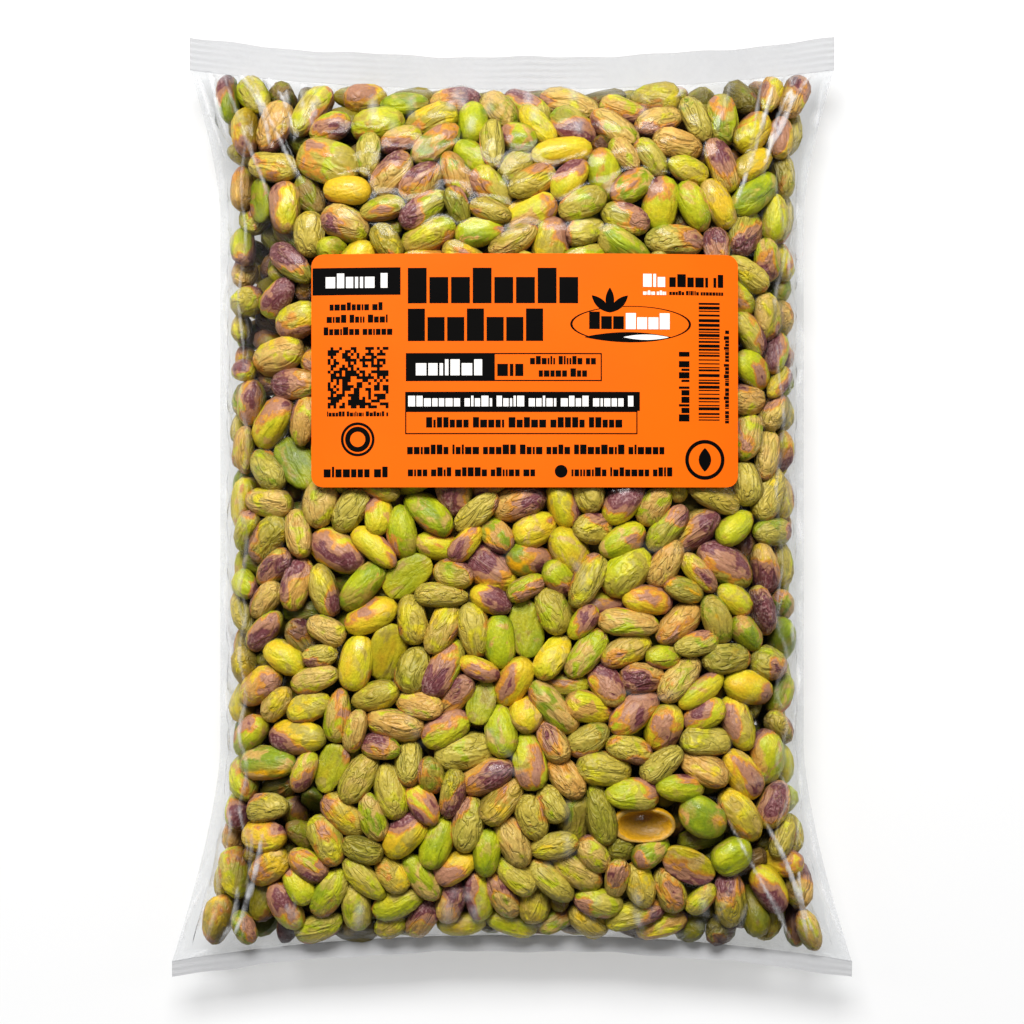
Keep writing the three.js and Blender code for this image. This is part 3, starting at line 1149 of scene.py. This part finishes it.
@dataclass(frozen=True)
class Crease:
    """A fold line in the film, seen from above."""

    start: tuple[float, float]
    end: tuple[float, float]
    height: float
    width: float
    # milkiness along the line, partly a painted highlight
    haze: float
    bow: float = 0.0
    wander: float = 0.0
    waves: float = 3.0
    phase: float = 0.0

    def profile(self, x: np.ndarray, y: np.ndarray) -> np.ndarray:
        """A bell across the line, tapered to nothing at both ends.

        Args:
            x: Places across.
            y: Places along.

        Returns:
            exp(-(distance / width)^2) times sin(pi t)^0.6 along the line.
        """
        run = np.array(self.end) - np.array(self.start)
        length = float(np.hypot(*run))
        heading = run / length
        from_x, from_y = x - self.start[0], y - self.start[1]
        t = (from_x * heading[0] + from_y * heading[1]) / length
        off = from_x * -heading[1] + from_y * heading[0]
        inside = np.clip(t, 0, 1)
        off = off - self.bow * np.sin(np.pi * inside)
        off = off - self.wander * np.sin(2 * np.pi * self.waves * inside + self.phase)
        taper = np.sin(np.pi * inside) ** 0.6
        return np.exp(-((off / self.width) ** 2)) * np.where((t > 0) & (t < 1), taper, 0)


@dataclass
class FilmTube:
    """The front and back of the film, drawn in between the kernels and creased at the edges."""

    bed: KernelBed
    finish: ClearFilm
    columns: int = 190
    flange_columns: int = 7
    rows: int = 228
    wall: float = 0.12
    slack: float = 0.12
    bulge: float = 0.3
    flat_gap: float = 0.25
    draw_in: float = 1.3
    push_out: float = 3.0
    follow: float = 0.85
    label_margin: float = 3.0
    side_columns: tuple[tuple[float, float], ...] = ((3.0, 0.42), (8.5, 0.3))
    seed: int = 5

    def build(self) -> list[bpy.types.Object]:
        """Makes both sides, each riding on the bag's one body."""
        material = self.finish.make()
        made = []
        for name, sign in (("film_front", 1), ("film_back", -1)):
            piece = self._side(name, sign)
            piece.data.materials.append(material)
            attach(piece, "root")
            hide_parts("film_tube")
            made.append(piece)
            log.info("%s: %d faces", name, len(piece.data.polygons))
        return made

    def _stations(self) -> np.ndarray:
        """Angles across one side, three times as close near the folds as in the middle."""
        shape = self.bed.shape
        angle = np.linspace(0, np.pi, 4001)
        ring = shape.section(angle, np.full_like(angle, 0.5))
        steps = np.hypot(np.diff(ring[:, 0]), np.diff(ring[:, 2]))
        middle = (ring[1:, 0] + ring[:-1, 0]) / 2
        density = 1 + 2 * smooth_step(0.58, 0.74, np.abs(middle) / (shape.waist_width / 2))
        travelled = np.concatenate([[0], np.cumsum(steps * density)])
        return np.interp(np.linspace(0, travelled[-1], self.columns), travelled, angle)

    def _plain(self, sign: int) -> tuple[np.ndarray, np.ndarray]:
        """One side's plain shape: the section round the kernels with a flat flange each side.

        Args:
            sign: 1 for the front, -1 for the back.

        Returns:
            The points, from -X to +X and bottom to top, and each point's share v of the way up.
        """
        shape = self.bed.shape
        v = np.linspace(0, 1, self.rows)
        v = v - 0.09 * np.sin(2 * np.pi * v) / 2
        angle, body_v = np.meshgrid(self._stations()[::-1] * sign, v)
        body = shape.section(angle, body_v)
        out, flange_v = np.meshgrid(np.arange(1, self.flange_columns + 1) / self.flange_columns, v)
        x = shape.half_width(flange_v) - shape.flange(flange_v) * (1 - out)
        y = shape.bottom_line(x) + (shape.top_line(x) - shape.bottom_line(x)) * flange_v
        right = np.stack([x, y, np.full_like(x, shape.fold_height)], axis=-1)
        left = right[:, ::-1] * (-1, 1, 1)
        points = np.concatenate([left, body, right], axis=1)
        away = sign * (points[..., 2] - shape.fold_height)
        points[..., 2] = shape.fold_height + sign * np.maximum(away, self.flat_gap)
        return points, np.broadcast_to(v[:, None], points.shape[:2])

    def _side(self, name: str, sign: int) -> bpy.types.Object:
        """One side of the film.

        Args:
            name: The piece's name.
            sign: 1 for the front, -1 for the back.

        Returns:
            The object. Each point of the plain shape moves in along the surface's normal by a
            share of its gap to the nearest kernel, and out by the creases' heights.
        """
        shape = self.bed.shape
        points, v = self._plain(sign)
        normal = self._normals(points, sign)
        gap = self._gaps(points.reshape(-1, 3)).reshape(points.shape[:2])
        over = smooth_step(0.5, 3.0, sign * (points[..., 2] - shape.fold_height))
        sunk = np.clip((gap - self.slack) * self.follow, -self.push_out, self.draw_in) * over
        sunk = np.minimum(self._blur(sunk, 2), np.where(gap < 4, gap - self.slack, 4))
        points = points - normal * self._blur(sunk, 1)[..., None]
        height, haze = self._creases(points, sign)
        points = points + normal * height[..., None]
        points[..., 2] = np.maximum(points[..., 2], self.wall)
        if sign < 0:
            points[..., 2] = np.minimum(points[..., 2], shape.fold_height - self.flat_gap)
        # Extra milk on the bare film at the sides and ends: partly the loose film's haze and partly
        # painted light.
        end = 1 - smooth_step(0, 0.014, v) * smooth_step(0, 0.014, 1 - v)
        rim = shape.half_width(v) - np.abs(points[..., 0])
        bare = np.maximum(1 - smooth_step(1.0, shape.side_flange + 1.2, rim), end)
        haze = np.clip(haze + 0.15 * bare, 0, 1)
        inner = points - self._normals(points, sign) * self.wall
        if sign < 0:
            points, inner, haze = points[:, ::-1], inner[:, ::-1], haze[:, ::-1]
        return make_wall(name, points, inner, {"film_haze_and_highlight": haze.ravel()})

    @staticmethod
    def _normals(points: np.ndarray, sign: int) -> np.ndarray:
        """Unit normals of a grid, out of the front for sign 1 and out of the back for -1."""
        normal = np.cross(np.gradient(points, axis=1), np.gradient(points, axis=0)) * sign
        return normal / (np.linalg.norm(normal, axis=-1, keepdims=True) + 1e-12)

    @staticmethod
    def _blur(values: np.ndarray, rounds: int) -> np.ndarray:
        """Each value averaged with its neighbours on the grid, some rounds over."""
        for _ in range(rounds):
            padded = np.pad(values, 1, mode="edge")
            beside = padded[:-2, 1:-1] + padded[2:, 1:-1] + padded[1:-1, :-2] + padded[1:-1, 2:]
            values = values / 2 + beside / 8
        return values

    def _gaps(self, points: np.ndarray) -> np.ndarray:
        """Distance from each point to the nearest kernel that touches the film.

        Args:
            points: The film's points, one row each.

        Returns:
            The distances to five balls that fill each kernel, negative inside one.
        """
        bed = self.bed
        kernels = bed.outer
        share = np.array([-1.0, -0.5, 0.0, 0.5, 1.0])
        sizes = np.array([bed.end_ball, 0.94, 1.0, 0.94, bed.end_ball])
        reach = (bed.lengths / 2 - bed.radii[:, 0])[kernels, None, None] * bed.axes[kernels, None]
        balls = (bed.centres[kernels, None] + share[None, :, None] * reach).reshape(-1, 3)
        radii = (bed.radii[kernels, 1, None] * sizes).ravel() + self.bulge
        gaps = np.empty(len(points))
        stride = 4 * (self.columns + 2 * self.flange_columns)
        for start in range(0, len(points), stride):
            block = points[start : start + stride]
            low, high = block[:, 1].min() - 14, block[:, 1].max() + 14
            close = (balls[:, 1] > low) & (balls[:, 1] < high)
            near = np.linalg.norm(block[:, None] - balls[close][None], axis=-1) - radii[close]
            gaps[start : start + stride] = near.min(axis=1)
        return gaps

    def _creases(self, points: np.ndarray, sign: int) -> tuple[np.ndarray, np.ndarray]:
        """Height and milkiness of the creases at each point; the milkiness is partly a painted
        highlight.

        Args:
            points: The film's points.
            sign: 1 for the front, -1 for the back.

        Returns:
            Heights in millimetres and milkiness, 0 to 1.
        """
        x, y = points[..., 0], points[..., 1]
        height, haze = np.zeros_like(x), np.zeros_like(x)
        for crease in self._crease_lines(sign):
            bell = crease.profile(x, y)
            height = height + crease.height * bell
            # Milky bands with crisp edges along each crease, partly a painted highlight.
            haze = np.maximum(haze, crease.haze * smooth_step(0.25, 0.65, bell))
        if sign > 0:
            low, high = (np.array(corner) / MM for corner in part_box("label"))
            off_x = np.maximum(low[0] - x, x - high[0])
            off_y = np.maximum(low[1] - y, y - high[1])
            clear = smooth_step(0.5, 0.5 + self.label_margin, np.maximum(off_x, off_y))
            height, haze = height * clear, haze * clear
        return height, haze

    def _crease_lines(self, sign: int) -> list[Crease]:
        """Long creases down both sides, fans at the corners, puckers at the seals and folds."""
        rng = np.random.default_rng(self.seed + sign)
        shape = self.bed.shape
        ends = ((shape.length / 2, shape.top_width), (-shape.length / 2, shape.bottom_width))
        lines = []
        for side in (-1, 1):
            lines += self._side_creases(rng, side)
            for end, spread in ends:
                lines += self._corner_fan(rng, side, end, spread)
        for end, _ in ends:
            lines += self._puckers(rng, end)
        return lines + self._loose_folds(rng)

    def _side_creases(self, rng: np.random.Generator, side: int) -> list[Crease]:
        """Two columns of long wandering creases down one side, each in three lengths."""
        lines = []
        for inward, haze in self.side_columns:
            x = side * (self.bed.shape.waist_width / 2 - inward)
            for low, high in ((-112, -20), (-45, 60), (30, 112)):
                sway = rng.uniform(-1.2, 1.2, 2)
                lines.append(
                    Crease(
                        (x + sway[0], low + rng.uniform(-8, 8)),
                        (x + sway[1], high + rng.uniform(-8, 8)),
                        height=rng.uniform(0.35, 0.8),
                        width=rng.uniform(0.4, 0.75),
                        haze=haze * rng.uniform(0.4, 1.0),
                        wander=rng.uniform(0.8, 2.2),
                        waves=rng.uniform(1.5, 4.5),
                        phase=rng.uniform(0, 6.28),
                    )
                )
        return lines

    @staticmethod
    def _corner_fan(
        rng: np.random.Generator, side: int, end: float, spread: float
    ) -> list[Crease]:
        """Creases that fan out from one corner towards the middle.

        Args:
            rng: Where the draws come from.
            side: -1 on the left, 1 on the right.
            end: Y of the bag's end.
            spread: Width of the seal there.

        Returns:
            Six creases, side by side along the seal.
        """
        inwards = -math.copysign(1, end)
        lines = []
        for step in range(6):
            x = side * (spread / 2 - 2 - 4.0 * step)
            reach = rng.uniform(16, 46)
            lines.append(
                Crease(
                    (x, end + inwards * 10),
                    (x - side * reach * rng.uniform(0.1, 0.6), end + inwards * (12 + reach)),
                    height=rng.uniform(0.4, 0.9),
                    width=rng.uniform(0.4, 0.8),
                    haze=rng.uniform(0.15, 0.65),
                    bow=side * rng.uniform(-3, 3),
                )
            )
        return lines

    @staticmethod
    def _puckers(rng: np.random.Generator, end: float) -> list[Crease]:
        """Short creases that start at the seal at one end."""
        inwards = -math.copysign(1, end)
        lines = []
        for _ in range(16):
            x = rng.uniform(-78, 78)
            reach = rng.uniform(8, 20)
            lines.append(
                Crease(
                    (x, end + inwards * 14),
                    (x + rng.uniform(-7, 7), end + inwards * (16 + reach)),
                    height=rng.uniform(0.3, 0.7),
                    width=rng.uniform(0.5, 1.0),
                    haze=rng.uniform(0.1, 0.35),
                )
            )
        return lines

    @staticmethod
    def _loose_folds(rng: np.random.Generator) -> list[Crease]:
        """Faint short folds anywhere on the side, in any direction."""
        lines = []
        for _ in range(14):
            x, y = rng.uniform(-75, 75), rng.uniform(-120, 125)
            turn, reach = rng.uniform(0, math.pi), rng.uniform(10, 30)
            lines.append(
                Crease(
                    (x, y),
                    (x + reach * math.cos(turn), y + reach * math.sin(turn)),
                    height=rng.uniform(0.3, 0.7),
                    width=rng.uniform(0.7, 1.1),
                    haze=rng.uniform(0.04, 0.14),
                    bow=rng.uniform(-4, 4),
                )
            )
        return lines


@dataclass
class Seals:
    """The two welded strips, crimped into fine ridges along their length."""

    shape: BagShape
    finish: ClearFilm
    wall: float = 0.3
    pitch: float = 1.9
    crimp: float = 0.13
    columns: int = 260
    rows: int = 40

    def build(self) -> list[bpy.types.Object]:
        """Makes both strips, each riding on the bag's one body."""
        shape = self.shape
        material = self.finish.make()
        top = self._strip(
            "top_seal_band", shape.top_line, shape.top_width, shape.top_seal_height, 1
        )
        low = self._strip(
            "bottom_seal_band", shape.bottom_line, shape.bottom_width, shape.bottom_seal_height, -1
        )
        for piece, node in ((top, "top_seal"), (low, "bottom_seal")):
            piece.data.materials.append(material)
            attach(piece, "root")
            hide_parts(node)
            log.info("%s: %d faces", piece.name, len(piece.data.polygons))
        return [top, low]

    def _strip(
        self, name: str, line, width: float, height: float, outward: int
    ) -> bpy.types.Object:
        """One strip between its seal line and the cut edge.

        Args:
            name: The piece's name.
            line: The seal line's y as a function of x.
            width: Length of the strip.
            height: From the seal line to the cut edge.
            outward: 1 at the top of the bag, -1 at its bottom.

        Returns:
            The object. Its height is a sine across the strip, one wave a pitch and pressed
            deeper in some places than others, plus a slow wave along it.
        """
        rng = np.random.default_rng(21 + outward)
        x = np.linspace(-width / 2, width / 2, self.columns)
        offset = np.linspace(0, height, self.rows)
        grid_x, grid_off = np.meshgrid(x, offset)
        ragged = 0.25 * np.sin(grid_x / 7.3 + 1.1) + 0.15 * np.sin(grid_x / 2.9)
        grid_y = line(grid_x) + outward * (grid_off + ragged * grid_off / height - 0.3)
        fade = sum(
            rng.uniform(0.2, 0.4) * np.sin(grid_x / rng.uniform(8, 40) + start)
            for start in range(4)
        )
        pressed = np.clip(fade - 0.3, 0, 1) + 0.35 * np.abs(2 * grid_x / width) ** 8
        ridges = self.crimp * pressed * np.sin(2 * np.pi * grid_off / self.pitch + 0.4 * fade)
        ridges = ridges * smooth_step(0, 1.5, grid_off) * smooth_step(0, 1.0, height - grid_off)
        slow = np.zeros_like(grid_x)
        for _ in range(5):
            high, wave, start = rng.uniform([0.1, 5, 0], [0.35, 26, 6.28])
            slow = slow + high * np.sin(grid_x / wave + start)
        slow = slow * grid_off / height
        z = self.shape.fold_height + self.wall / 2 + ridges + slow
        points = np.stack([grid_x, grid_y, z], axis=-1)
        haze = np.clip(0.35 + pressed * np.sin(2 * np.pi * grid_off / self.pitch + 0.6), 0, 1)
        if outward < 0:
            points, haze = points[::-1], haze[::-1]
        back = points - (0.0, 0.0, self.wall)
        return make_wall(name, points, back, {"film_haze_and_highlight": haze.ravel()})


# ---------------------------------------------------------------- label


@dataclass(frozen=True)
class PrintedStock:
    """Smooth coated paper or ink in one colour, with a faint mottle."""

    name: str
    colour: Colour
    mottled: Colour
    roughness: float = 0.45
    gloss: float = 0.12

    def make(self) -> bpy.types.Material:
        """Builds the material."""
        graph = Graph(self.name)
        place = graph.node("TexCoord").outputs["Object"]
        fibre = graph.noise(place, 900.0, 4.0)
        cloud = graph.noise(place, 30.0, 3.0)
        colour = graph.mix(graph.step(cloud, 0.3, 0.7), self.colour, self.mottled)
        bump = graph.node("Bump", {"Strength": 0.12, "Distance": 0.1 * MM, "Height": fibre})
        shader = graph.node(
            "BsdfPrincipled",
            {
                "Base Color": colour,
                "Roughness": self.roughness,
                "Specular IOR Level": self.gloss,
                "Normal": bump.outputs["Normal"],
            },
        )
        return graph.finish(shader.outputs["BSDF"])


@dataclass
class FrontLabel:
    """The orange label with its plain printed blocks, bent over the front of the bag."""

    shape: BagShape
    stock: PrintedStock
    ink: PrintedStock
    white: PrintedStock
    lift: float = 0.35
    thick: float = 0.28
    corner: float = 3.5
    columns: int = 120
    rows: int = 70

    def __post_init__(self) -> None:
        """Reads the label's place and size from the frame."""
        low, high = (np.array(corner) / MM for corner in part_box("label"))
        self.centre = (low + high)[:2] / 2
        self.width, self.height = (high - low)[:2]

    def build(self) -> list[bpy.types.Object]:
        """Makes the label and its two prints, each riding on the bag's one body."""
        sheet = self._sheet()
        prints = LabelPrints(self)
        black = prints.black()
        white = prints.white_marks()
        for piece, finish, slot in (
            (sheet, self.stock, "label_stock"),
            (black, self.ink, "label_ink"),
            (white, self.white, "label_white"),
        ):
            piece.data.materials.append(finish.make())
            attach(piece, "root")
            log.info("%s: %d faces", piece.name, len(piece.data.polygons))
        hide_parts("label")
        return [sheet, black, white]

    def top(self, x: np.ndarray, y: np.ndarray, above: float = 0.0) -> np.ndarray:
        """Points on the label's face, or a little above it.

        Args:
            x: Places across, from the label's centre.
            y: Places up, from the label's centre.
            above: Height over the face.

        Returns:
            Points with x, y and z along the last axis; the face follows the bag's front with
            a slight slow wave.
        """
        bag_x, bag_y = x + self.centre[0], y + self.centre[1]
        wave = 0.1 * np.sin(bag_x / 9.0 + 0.8) * np.sin(bag_y / 7.0 + 0.4)
        z = self.shape.front_height(bag_x, bag_y) + self.lift + self.thick + 0.1 + wave + above
        return np.stack([bag_x, bag_y, z], axis=-1)

    def _sheet(self) -> bpy.types.Object:
        """The sheet: rows that draw in by a quarter circle at the round corners."""
        half = self.height / 2
        t = np.linspace(-1, 1, self.rows)
        t = np.sign(t) * (1 - (1 - np.abs(t)) ** 1.35)
        y = half * t
        into = np.clip(np.abs(y) - (half - self.corner), 0, self.corner)
        reach = self.width / 2 - self.corner + np.sqrt(self.corner**2 - into**2)
        s = np.linspace(-1, 1, self.columns)
        x = reach[:, None] * s[None]
        y = np.broadcast_to(y[:, None], x.shape)
        return make_wall("front_label", self.top(x, y), self.top(x, y, -self.thick))


class LabelPrints:
    """The label's printed marks: blocks in place of words, plain bars, rings and a sprig.

    Places are millimetres from the label's centre, x to the right and y up.
    """

    def __init__(self, label: FrontLabel) -> None:
        """Starts with no marks."""
        self.label = label
        self.points: list[np.ndarray] = []
        self.sides: list[np.ndarray] = []
        self.rims: list[np.ndarray] = []
        self.count = 0
        self.above = 0.06
        self.rng = np.random.default_rng(33)

    def black(self) -> bpy.types.Object:
        """Every black mark in one piece."""
        self.above = 0.06
        self.bar(-63.9, 30.9, 26.6, 8.2)
        self.line(-58.7, 20.5, 16.6, 2.4)
        self.line(-59.6, 16.8, 18.9, 2.4)
        self.line(-60.5, 13.1, 21.1, 2.4)
        self.block_code(-59.3, 7.1, 18.4, 21)
        self.line(-59.5, -12.2, 18.5, 1.5)
        self.ring(-50.2, -20.6, 5.1, 4.3)
        self.ring(-50.2, -20.6, 3.8, 2.3)
        self.line(-60.5, -28.8, 20.5, 3.2)
        self.word(-35.1, 30.7, 51.0, 10.6, 8)
        self.word(-35.1, 18.5, 40.5, 9.7, 7)
        self.bar(-35.7, 5.2, 26.4, 8.4)
        self.outline(-9.4, 5.2, 32.4, 8.4)
        self.line(-8.3, 3.1, 8.5, 4.8)
        self.line(1.5, 4.3, 20.5, 2.5)
        self.line(4.1, 0.6, 15.3, 2.5)
        self.bar(-35.9, -6.4, 70.3, 5.7)
        self.outline(-35.9, -12.1, 69.6, 7.0)
        self.line(-29.6, -14.0, 58.7, 3.1)
        self.line(-35.3, -22.2, 78.6, 2.9)
        self.line(-35.1, -29.0, 38.1, 2.7)
        self.ring(10.8, -30.2, 1.9, 0.0)
        self.line(13.9, -29.0, 30.7, 2.7)
        self.line(43.3, 29.0, 16.4, 3.9)
        self.line(43.3, 24.0, 16.4, 1.3)
        self.bar_code(52.2, 20.5, 6.4, 36.1)
        self.standing_line(59.9, 12.3, 1.6, 28.0)
        self.standing_line(46.2, 5.7, 3.2, 20.9)
        self.ring(54.1, -26.7, 6.0, 4.9)
        self.leaf(54.1, -30.2, 7.0, 1.9, 1.57)
        self.ring(31.7, 13.9, 18.2, 17.5, 0.3)
        for heading in (0.75, 1.57, 2.39):
            self.leaf(25.4, 17.4, 7.4, 1.3, heading)
        self.word(19.2, 17.6, 10.4, 5.2, 3)
        self.leaf(17.9, 10.0, 26.0, 1.5, 0.0)
        return self._close("label_print_black")

    def white_marks(self) -> bpy.types.Object:
        """Every white mark in one piece, over the black ones."""
        self.above = 0.14
        self.line(-59.9, 29.2, 18.7, 4.4)
        self.line(-32.7, 3.3, 20.1, 4.8)
        self.line(-35.0, -7.6, 68.2, 3.2)
        self.line(35.4, 29.0, 7.1, 3.9)
        self.line(35.4, 24.0, 7.1, 1.3)
        self.word(30.2, 17.2, 13.2, 4.8, 4)
        self.leaf(29.5, 10.0, 13.6, 0.8, 0.0)
        return self._close("label_print_white")

    def line(self, left: float, top: float, width: float, height: float) -> None:
        """A line of words as upright blocks, some of them taller, with gaps between words.

        Args:
            left: Left end.
            top: Top of the tallest blocks.
            width: Length of the line.
            height: Height of the tallest blocks.
        """
        for start, wide, tall in self._blocks(width, height):
            self.bar(left + start, top - height + tall, wide, tall)

    def word(self, left: float, top: float, width: float, height: float, blocks: int) -> None:
        """One heavy word: even blocks, the first of them tall and every third one too.

        Args:
            left: Left end.
            top: Top of the tallest blocks.
            width: Length of the word.
            height: Height of the tallest blocks.
            blocks: How many blocks it has.
        """
        step = (width + 0.08 * height) / blocks
        for number in range(blocks):
            tall = height * (1.0 if number % 3 == 0 else 0.74)
            self.bar(left + number * step, top - height + tall, step - 0.08 * height, tall)

    def standing_line(self, left: float, top: float, width: float, height: float) -> None:
        """A line of words that reads upwards.

        Args:
            left: Left side.
            top: Top end.
            width: Height of the tallest blocks, which is across.
            height: Length of the line.
        """
        for start, wide, tall in self._blocks(height, width):
            self.bar(left + width - tall, top - height + start + wide, tall, wide)

    def _blocks(self, length: float, height: float) -> list[tuple[float, float, float]]:
        """Starts, widths and heights of the blocks of one line."""
        blocks = []
        place, left_in_word = 0.0, int(self.rng.integers(4, 9))
        while place < length - 0.3 * height:
            wide = height * self.rng.choice([0.22, 0.5, 0.58, 0.66])
            wide = min(wide, length - place)
            tall = height * self.rng.choice([0.76, 1.0], p=[0.7, 0.3])
            blocks.append((place, wide, tall))
            left_in_word -= 1
            place += wide + height * (0.12 if left_in_word else 0.42)
            if not left_in_word:
                left_in_word = int(self.rng.integers(4, 9))
        return blocks

    def bar(self, left: float, top: float, width: float, height: float) -> None:
        """A filled rectangle, stepped finely enough to bend with the label.

        Args:
            left: Left side.
            top: Top side.
            width: Width.
            height: Height.
        """
        columns, rows = max(2, round(width / 3) + 1), max(2, round(height / 3) + 1)
        x, y = np.meshgrid(
            np.linspace(left, left + width, columns), np.linspace(top - height, top, rows)
        )
        self._patch(x, y)

    def outline(self, left: float, top: float, width: float, height: float) -> None:
        """A rectangle's outline, 0.35 mm wide."""
        edge = 0.35
        self.bar(left, top, width, edge)
        self.bar(left, top - height + edge, width, edge)
        self.bar(left, top - edge, edge, height - 2 * edge)
        self.bar(left + width - edge, top - edge, edge, height - 2 * edge)

    def ring(
        self, x: float, y: float, outer: float, inner: float, squeeze: float = 1.0
    ) -> None:
        """A ring, or a disc where the inner radius is 0, squeezed in y."""
        turn, radius = np.meshgrid(np.linspace(0, -2 * np.pi, 49), [max(inner, 0.02), outer])
        self._patch(x + radius * np.cos(turn), y + squeeze * radius * np.sin(turn))

    def leaf(self, x: float, y: float, length: float, half: float, heading: float) -> None:
        """A leaf: its half-width along the length t is half times sin(pi t)^0.8."""
        t, side = np.meshgrid(np.linspace(0, 1, 17), [-1.0, 1.0])
        along, off = length * t, side * half * np.maximum(0.02, np.sin(np.pi * t)) ** 0.8
        self._patch(
            x + along * math.cos(heading) - off * math.sin(heading),
            y + along * math.sin(heading) + off * math.cos(heading),
        )

    def block_code(self, left: float, top: float, side: float, cells: int) -> None:
        """A square of random square cells."""
        cell = side / cells
        filled = self.rng.uniform(0, 1, (cells, cells)) < 0.52
        for row, column in zip(*np.nonzero(filled)):
            self.bar(left + column * cell, top - row * cell, cell, cell)

    def bar_code(self, left: float, top: float, width: float, height: float) -> None:
        """Lying bars of random thickness, one under another."""
        place = 0.0
        while place < height - 0.8:
            thick = self.rng.choice([0.35, 0.6, 0.9])
            self.bar(left, top - place, width, thick)
            place += thick + self.rng.choice([0.35, 0.5, 0.8])

    def _patch(self, x: np.ndarray, y: np.ndarray) -> None:
        """Adds a grid of places as a thin closed patch just over the label."""
        for above in (self.above, self.above - 0.04):
            self.points.append(self.label.top(x, y, above).reshape(-1, 3))
        sides, rim = wall_faces(*x.shape)
        self.sides.append(sides + self.count)
        self.rims.append(rim + self.count)
        self.count += 2 * x.size

    def _close(self, name: str) -> bpy.types.Object:
        """Turns the marks so far into a piece and starts afresh."""
        faces = [np.concatenate(self.sides), np.concatenate(self.rims)]
        piece = make_object(name, np.concatenate(self.points), faces, flat=(0, 1))
        self.points, self.sides, self.rims, self.count = [], [], [], 0
        return piece


# ---------------------------------------------------------------- studio


@dataclass(frozen=True)
class StudioFloor:
    """A matt white floor, faintly lit from below."""

    name: str = "studio_floor"
    colour: Colour = (0.45, 0.45, 0.45, 1.0)
    glow: float = 0.47

    def make(self) -> bpy.types.Material:
        """Builds the material."""
        graph = Graph(self.name)
        matt = graph.node("BsdfDiffuse", {"Color": self.colour})
        glow = graph.node("Emission", {"Strength": self.glow})
        both = graph.node("AddShader", {0: matt.outputs[0], 1: glow.outputs[0]})
        return graph.finish(both.outputs[0])


@dataclass
class Studio:
    """White floor, soft lights and a camera that looks straight down on the bag."""

    shape: BagShape
    floor_side: float = 8000.0
    lens: float = 85.0
    sensor: float = 36.0
    frame_share: float = 0.919
    drop: float = -1.4
    sky: float = 0.09

    def build(self) -> None:
        """Makes the floor, the sky, the lights and the camera."""
        half = self.floor_side / 2
        corners = np.array([[-half, -half, 0], [half, -half, 0], [half, half, 0], [-half, half, 0]])
        floor = make_object("studio_floor", corners.astype(float), [np.array([[0, 1, 2, 3]])])
        floor.data.materials.append(StudioFloor().make())
        self._sky()
        self._light("key", (-0.15, 1.05, 1.38), (0.9, 0.55), 45.0)
        self._light("left", (-1.3, 0.25, 0.8), (0.35, 1.2), 3.0)
        self._light("right", (1.3, 0.25, 0.8), (0.35, 1.2), 3.0)
        self._camera()

    def _sky(self) -> None:
        """A white surround: full white to the camera, dimmer as a light."""
        world = bpy.data.worlds.new("white_room")
        bpy.context.scene.world = world
        world.use_nodes = True
        nodes, links = world.node_tree.nodes, world.node_tree.links
        nodes.clear()
        seen = nodes.new("ShaderNodeLightPath")
        strength = nodes.new("ShaderNodeMapRange")
        strength.inputs["To Min"].default_value = self.sky
        links.new(seen.outputs["Is Camera Ray"], strength.inputs["Value"])
        background = nodes.new("ShaderNodeBackground")
        links.new(strength.outputs["Result"], background.inputs["Strength"])
        output = nodes.new("ShaderNodeOutputWorld")
        links.new(background.outputs["Background"], output.inputs["Surface"])

    def _light(
        self,
        name: str,
        place: tuple[float, float, float],
        size: tuple[float, float],
        power: float,
    ) -> None:
        """One rectangular softbox aimed at the bag.

        Args:
            name: The light's name.
            place: Where it hangs, in metres.
            size: Its sides, in metres.
            power: Watts.
        """
        data = bpy.data.lights.new(name, "AREA")
        data.shape = "RECTANGLE"
        data.size, data.size_y = size
        data.energy = power
        lamp = bpy.data.objects.new(name, data)
        lamp.location = place
        aim = Vector((0, 0, self.shape.fold_height * MM)) - Vector(place)
        lamp.rotation_euler = aim.to_track_quat("-Z", "Y").to_euler()
        bpy.context.scene.collection.objects.link(lamp)

    def _camera(self) -> None:
        """The camera, far enough up for the bag to fill its share of the frame's height."""
        data = bpy.data.cameras.new("camera")
        data.lens = self.lens
        data.sensor_width = self.sensor
        seen = self.shape.length / self.frame_share
        distance = seen * self.lens / self.sensor
        camera = bpy.data.objects.new("camera", data)
        camera.location = (0.0, self.drop * MM, (distance + self.shape.fold_height) * MM)
        bpy.context.scene.collection.objects.link(camera)
        bpy.context.scene.camera = camera
        bpy.context.scene.view_settings.view_transform = "Standard"


# ---------------------------------------------------------------- the whole bag


def main() -> None:
    """Builds the bag and the studio."""
    logging.basicConfig(level=logging.INFO, format="%(message)s")
    shape = BagShape.from_frame()
    bed = KernelBed(shape)
    bed.settle()
    Kernels(bed, KernelSkin()).build()
    FilmTube(bed, ClearFilm("film_clear")).build()
    welded = ClearFilm(
        "film_welded", haze=0.5, crease_haze_and_highlight=0.3, ripple=0.2, milk_and_highlight=(0.56, 0.56, 0.57, 1.0)
    )
    Seals(shape, welded).build()
    FrontLabel(
        shape,
        stock=PrintedStock("label_orange", srgb(246, 104, 0), srgb(242, 100, 0)),
        ink=PrintedStock("label_black", srgb(3, 2, 2), srgb(6, 5, 4), 0.55, 0.04),
        white=PrintedStock("label_white", srgb(250, 246, 240), srgb(242, 238, 232), 0.4),
    ).build()
    Studio(shape).build()


if __name__ == "__main__":
    main()
